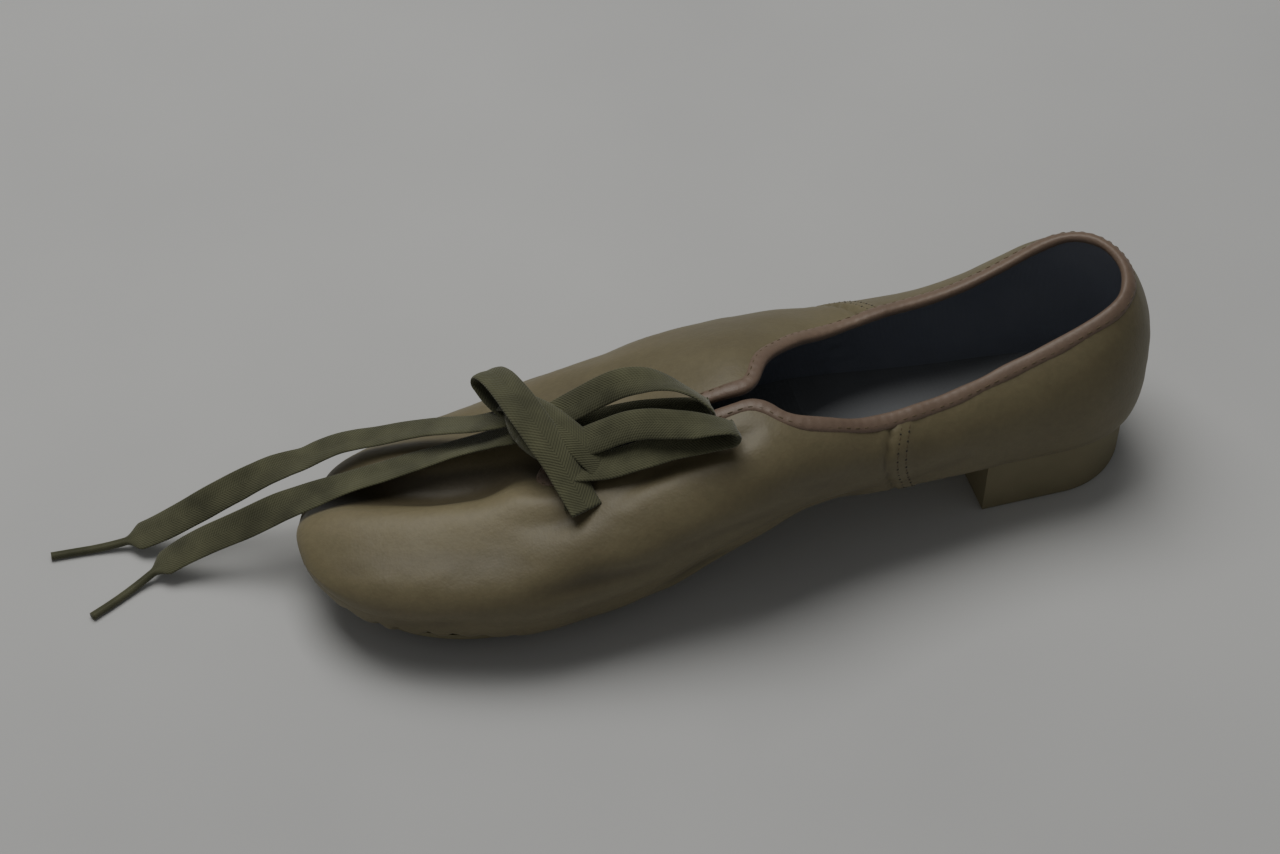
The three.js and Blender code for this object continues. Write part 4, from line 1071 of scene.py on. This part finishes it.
# Across the strip's round section the height is lower on one half and higher on the other: a faint painted
# shade on one half, a faint rubbed lightening on the other.
set_height(binding, np.full(count * 20, 0.5) + 0.1 * np.sin(turn)[None].repeat(count, 0).ravel())
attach(binding, "root")
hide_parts("collar_binding")

# %% [markdown]
# ## Stitches
#
# A stitch is a short bent capsule of 42 points. One small pattern is placed hundreds of times at once
# with an array of directions, which costs far less than hundreds of objects.

# %% Stitches and seams
def stitches(name, line, normals, pitch, long, thick, material, sink=0.0, start=0.0):
    """Short capsules along a line: each runs with the line, bows out of the leather and dips at both ends."""
    steps = np.concatenate([[0], np.cumsum(np.linalg.norm(np.diff(line, axis=0), axis=1))])
    middles = np.arange(start + pitch / 2, steps[-1], pitch)
    at = np.stack([np.interp(middles, steps, column) for column in line.T], -1)
    out = unit(np.stack([np.interp(middles, steps, column) for column in normals.T], -1))
    slopes = np.gradient(line, steps, axis=0)
    way = unit(np.stack([np.interp(middles, steps, column) for column in slopes.T], -1))
    aside = unit(np.cross(out, way))
    t, a = np.meshgrid(np.linspace(-1, 1, 7), np.linspace(0, 2 * np.pi, 7)[:-1], indexing="ij")
    swell = np.sqrt(np.clip(1 - t**4, 0.02, 1))
    half = thick / 2 * swell
    high = np.sin(a) * half - t**2 * thick * 0.45 - sink
    shape = np.stack([t * long / 2, np.cos(a) * half, high], -1).reshape(-1, 3)
    bases = np.stack([way, aside, out], 1)
    points = at[:, None] + np.einsum("pk,nkd->npd", shape, bases)
    one = grid_faces(7, 6, close=True)
    faces = (one[None] + (np.arange(len(at)) * len(shape))[:, None, None]).reshape(-1, 4)
    made = make_object(name, points, faces, material)
    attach(made, "root")
    return made


row = edge + out_of * (1.5 * 0.92 - WALL / 2 + 0.12) + down * 1.15
closed = np.concatenate([row, row[:1]])
stitches("strip_stitches", closed, np.concatenate([out_of, out_of[:1]]), pitch, 1.9, 0.38, thread, sink=0.16)


def seam_line(offset, reach, count=260):
    """Line beside the cross seam, from the inner collar under the foot to the outer one."""
    w = np.linspace(reach, -reach, count)
    x = np.full(count, SEAM_AT)
    for _ in range(12):
        p = last(x, w * edge_of(x))
        x = seam_x(p[:, 1], p[:, 2]) + offset
    return skin(x, w * edge_of(x))[:2]


def arch_line(offset, start, end, count=200):
    """Line beside the long seam under the arch: the section is flat there, so the side gives the place."""
    x = np.linspace(start, end, count)
    s = section(x)
    w = (centre_line(x) + offset - s["middle"]) / (s["half"] * s["flat"]) * FLAT_WALK * LOWER
    return skin(x, w)[:2]


ARCH_ROWS = [
    ("inner", 3.0, 75.6, 148.5), ("outer", -3.0, 75.6, 148.5),
    ("inner_back", 2.5, 54.5, 70), ("outer_back", -2.5, 54.5, 70),
]
seam_sets = [("cross", *seam_line(-2.2, 0.97), 2.7), ("cross_back", *seam_line(-4.6, 0.97), 2.7)]
seam_sets += [(label, *arch_line(offset, start, end), 2.7) for label, offset, start, end in ARCH_ROWS]
for label, line, normals, step in seam_sets:
    stitches(f"stitches_{label}", line, normals, step, 1.75, 0.46, thread, sink=0.1)
    # Dark capsules half a step along, between the stitches: painted shade in the needle holes.
    stitches(f"needle_hole_shade_{label}", line, normals, step, 0.95, 0.8, painted_hole_shade, 0.16, step / 2)
print("binding", round(around), "mm long, stitch sets", len(seam_sets) + 1)

# %% [markdown]
# ## Rubber pieces
#
# The forefoot sole is a thin cushion that follows the ball of the foot. Its tread is some thirteen
# hundred small blunt pyramids, copied by arrays to a slanting lattice and kept where they fall inside the
# outline. The heel is a block with a straight breast and a round back, and fine slanting ribs underneath,
# which are a bump.

# %% Outline and underside
def under_height(x, y):
    """Height of the last's underside seen from above, flat in the middle and curving up at each side."""
    s = section(x)
    out = np.clip(np.abs(y - s["middle"]) / s["half"], 0, 1)
    turn = np.arcsin(np.clip((out - s["flat"]) / (1 - s["flat"]), 0, 1))
    return s["under"] + (s["beam"] - s["under"]) * (1 - np.cos(turn))


def patch_points(angle, share):
    """Place seen from above at an angle and a share of the outline, a rounded square that leans inwards."""
    bend = lambda value: np.sign(value) * np.abs(value) ** (2 / PATCH_SQUARE)
    along = bend(np.cos(angle)) * PATCH_LONG / 2 * share
    across = bend(np.sin(angle)) * PATCH_WIDE / 2 * share
    return PATCH_AT + along, float(section(PATCH_AT)["middle"]) + across + PATCH_LEAN * along

# %% [markdown]
# ## Shape of the sole
#
# The outline is a rounded square that leans to the inner side. Rings of that outline, each with its own
# height above the bottom plane, make the flat underside, the rim and the thin edge under the leather.

# %% Rings and nubs of the sole
NUB_HIGH = 0.5
# share of the outline, how far above the bottom plane
PROFILE = [(share, NUB_HIGH) for share in (0.02, 0.3, 0.6, 0.85, 0.965)]
PROFILE += [(0.975, 0.12), (0.99, 0.18), (1.0, 0.7), (1.0, 1.4), (0.995, 2.1), (0.97, 2.3)]
angles = np.linspace(0, 2 * np.pi, 200, endpoint=False)
rings = []
for share, height in PROFILE:
    x, y = patch_points(angles, share)
    rings.append(np.stack([x, y, under_height(x, y) - GAP - PATCH_THICK + height], -1))
sole_faces = [list(range(200))] + grid_faces(len(rings), 200, close=True).tolist()
sole = make_object("rubber_forefoot_sole", rings, sole_faces, sole_rubber)
PITCH = 1.78
lattice = np.stack(np.meshgrid(np.arange(-40, 41), np.arange(-40, 41)), -1).reshape(-1, 2) * PITCH
lattice[:, 0] += (np.round(lattice[:, 1] / PITCH) % 2) * PITCH / 2
lean = math.radians(14)
turning = np.array([[math.cos(lean), math.sin(lean)], [-math.sin(lean), math.cos(lean)]])
lattice = lattice @ turning
spots = lattice + np.array([PATCH_AT, float(section(PATCH_AT)["middle"])])
spots = spots[patch_share(spots[:, 0], spots[:, 1])[0] < 0.95]
base = np.array([[0.90, 0], [0, 0.74], [-0.90, 0], [0, -0.74]])
shape = np.concatenate([np.c_[base, np.full(4, 0.05)], np.c_[base * 0.52, np.full(4, -NUB_HIGH)]])
shape[:, :2] = shape[:, :2] @ turning
corner = spots[:, None] + shape[None, :, :2]
ground = under_height(spots[:, 0], spots[:, 1])[:, None] - GAP - PATCH_THICK + NUB_HIGH
nub_points = np.concatenate([corner, (ground + shape[None, :, 2])[..., None]], -1)
one = np.array([[0, 1, 5, 4], [1, 2, 6, 5], [2, 3, 7, 6], [3, 0, 4, 7], [4, 5, 6, 7]])[:, ::-1]
nub_faces = (one[None] + (np.arange(len(spots)) * 8)[:, None, None]).reshape(-1, 4)
nubs = make_object("tread_nubs", nub_points, nub_faces, sole_rubber)
for made in (sole, nubs):
    made.data.set_sharp_from_angle(angle=math.radians(38))
    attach(made, "root")
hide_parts("forefoot_sole")
print("nubs", len(spots))

# %% [markdown]
# ## Heel
#
# The block is a half circle behind and a straight breast in front. Its rings go from the middle of its
# underside out to the edge, over a small rounded corner and up to the leather.

# %% Heel block
def heel_outline(inset, count=64):
    """Outline of the heel from above, smaller by an inset: a half circle behind and a straight breast."""
    half, breast, centre = HEEL_WIDE / 2 - inset, HEEL_INSET + HEEL_LONG - inset, HEEL_INSET + HEEL_WIDE / 2
    arc = np.linspace(np.pi / 2, 3 * np.pi / 2, count)
    round_back = np.stack([centre + half * np.cos(arc), half * np.sin(arc)], -1)
    side = np.linspace(0, 1, 12)[1:-1, None]
    low, high = np.array([centre, -half]), np.array([breast, -half])
    front = np.array([breast, half])
    steps = np.linspace(0, 1, 24)[:, None]
    back_again = front + (np.array([centre, half]) - front) * side
    return np.concatenate([round_back, low + (high - low) * side, high + (front - high) * steps, back_again])


HEEL_TOP = 20.3
# inset, height above the floor or, where it is none, up to the leather
HEEL_RINGS = [(14, 0.0), (6, 0.0), (0.9, 0.0), (0.45, 0.12), (0.12, 0.5)]
HEEL_RINGS += [(0.0, height) for height in (1.2, 5.0, 9.0, 13.0)]
rings = []
for inset, height in HEEL_RINGS:
    xy = heel_outline(inset)
    rings.append(np.c_[xy, np.full(len(xy), height)])
for inset in (0.0, 2.5):
    xy = heel_outline(inset)
    roof = np.minimum(under_height(xy[:, 0], xy[:, 1]) - 0.15, HEEL_TOP)
    rings.append(np.c_[xy, roof])
size = len(rings[0])
heel_faces = [list(range(size))] + grid_faces(len(rings), size, close=True).tolist()
heel = make_object("rubber_heel", rings, heel_faces, heel_rubber)
heel.data.set_sharp_from_angle(angle=math.radians(32))
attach(heel, "root")
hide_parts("heel")
print("heel", [round(v, 1) for v in heel.dimensions / MM])

# %% [markdown]
# ## Finish
#
# The last cell brings the view layer up to date.

# %% Finish
bpy.context.view_layer.update()
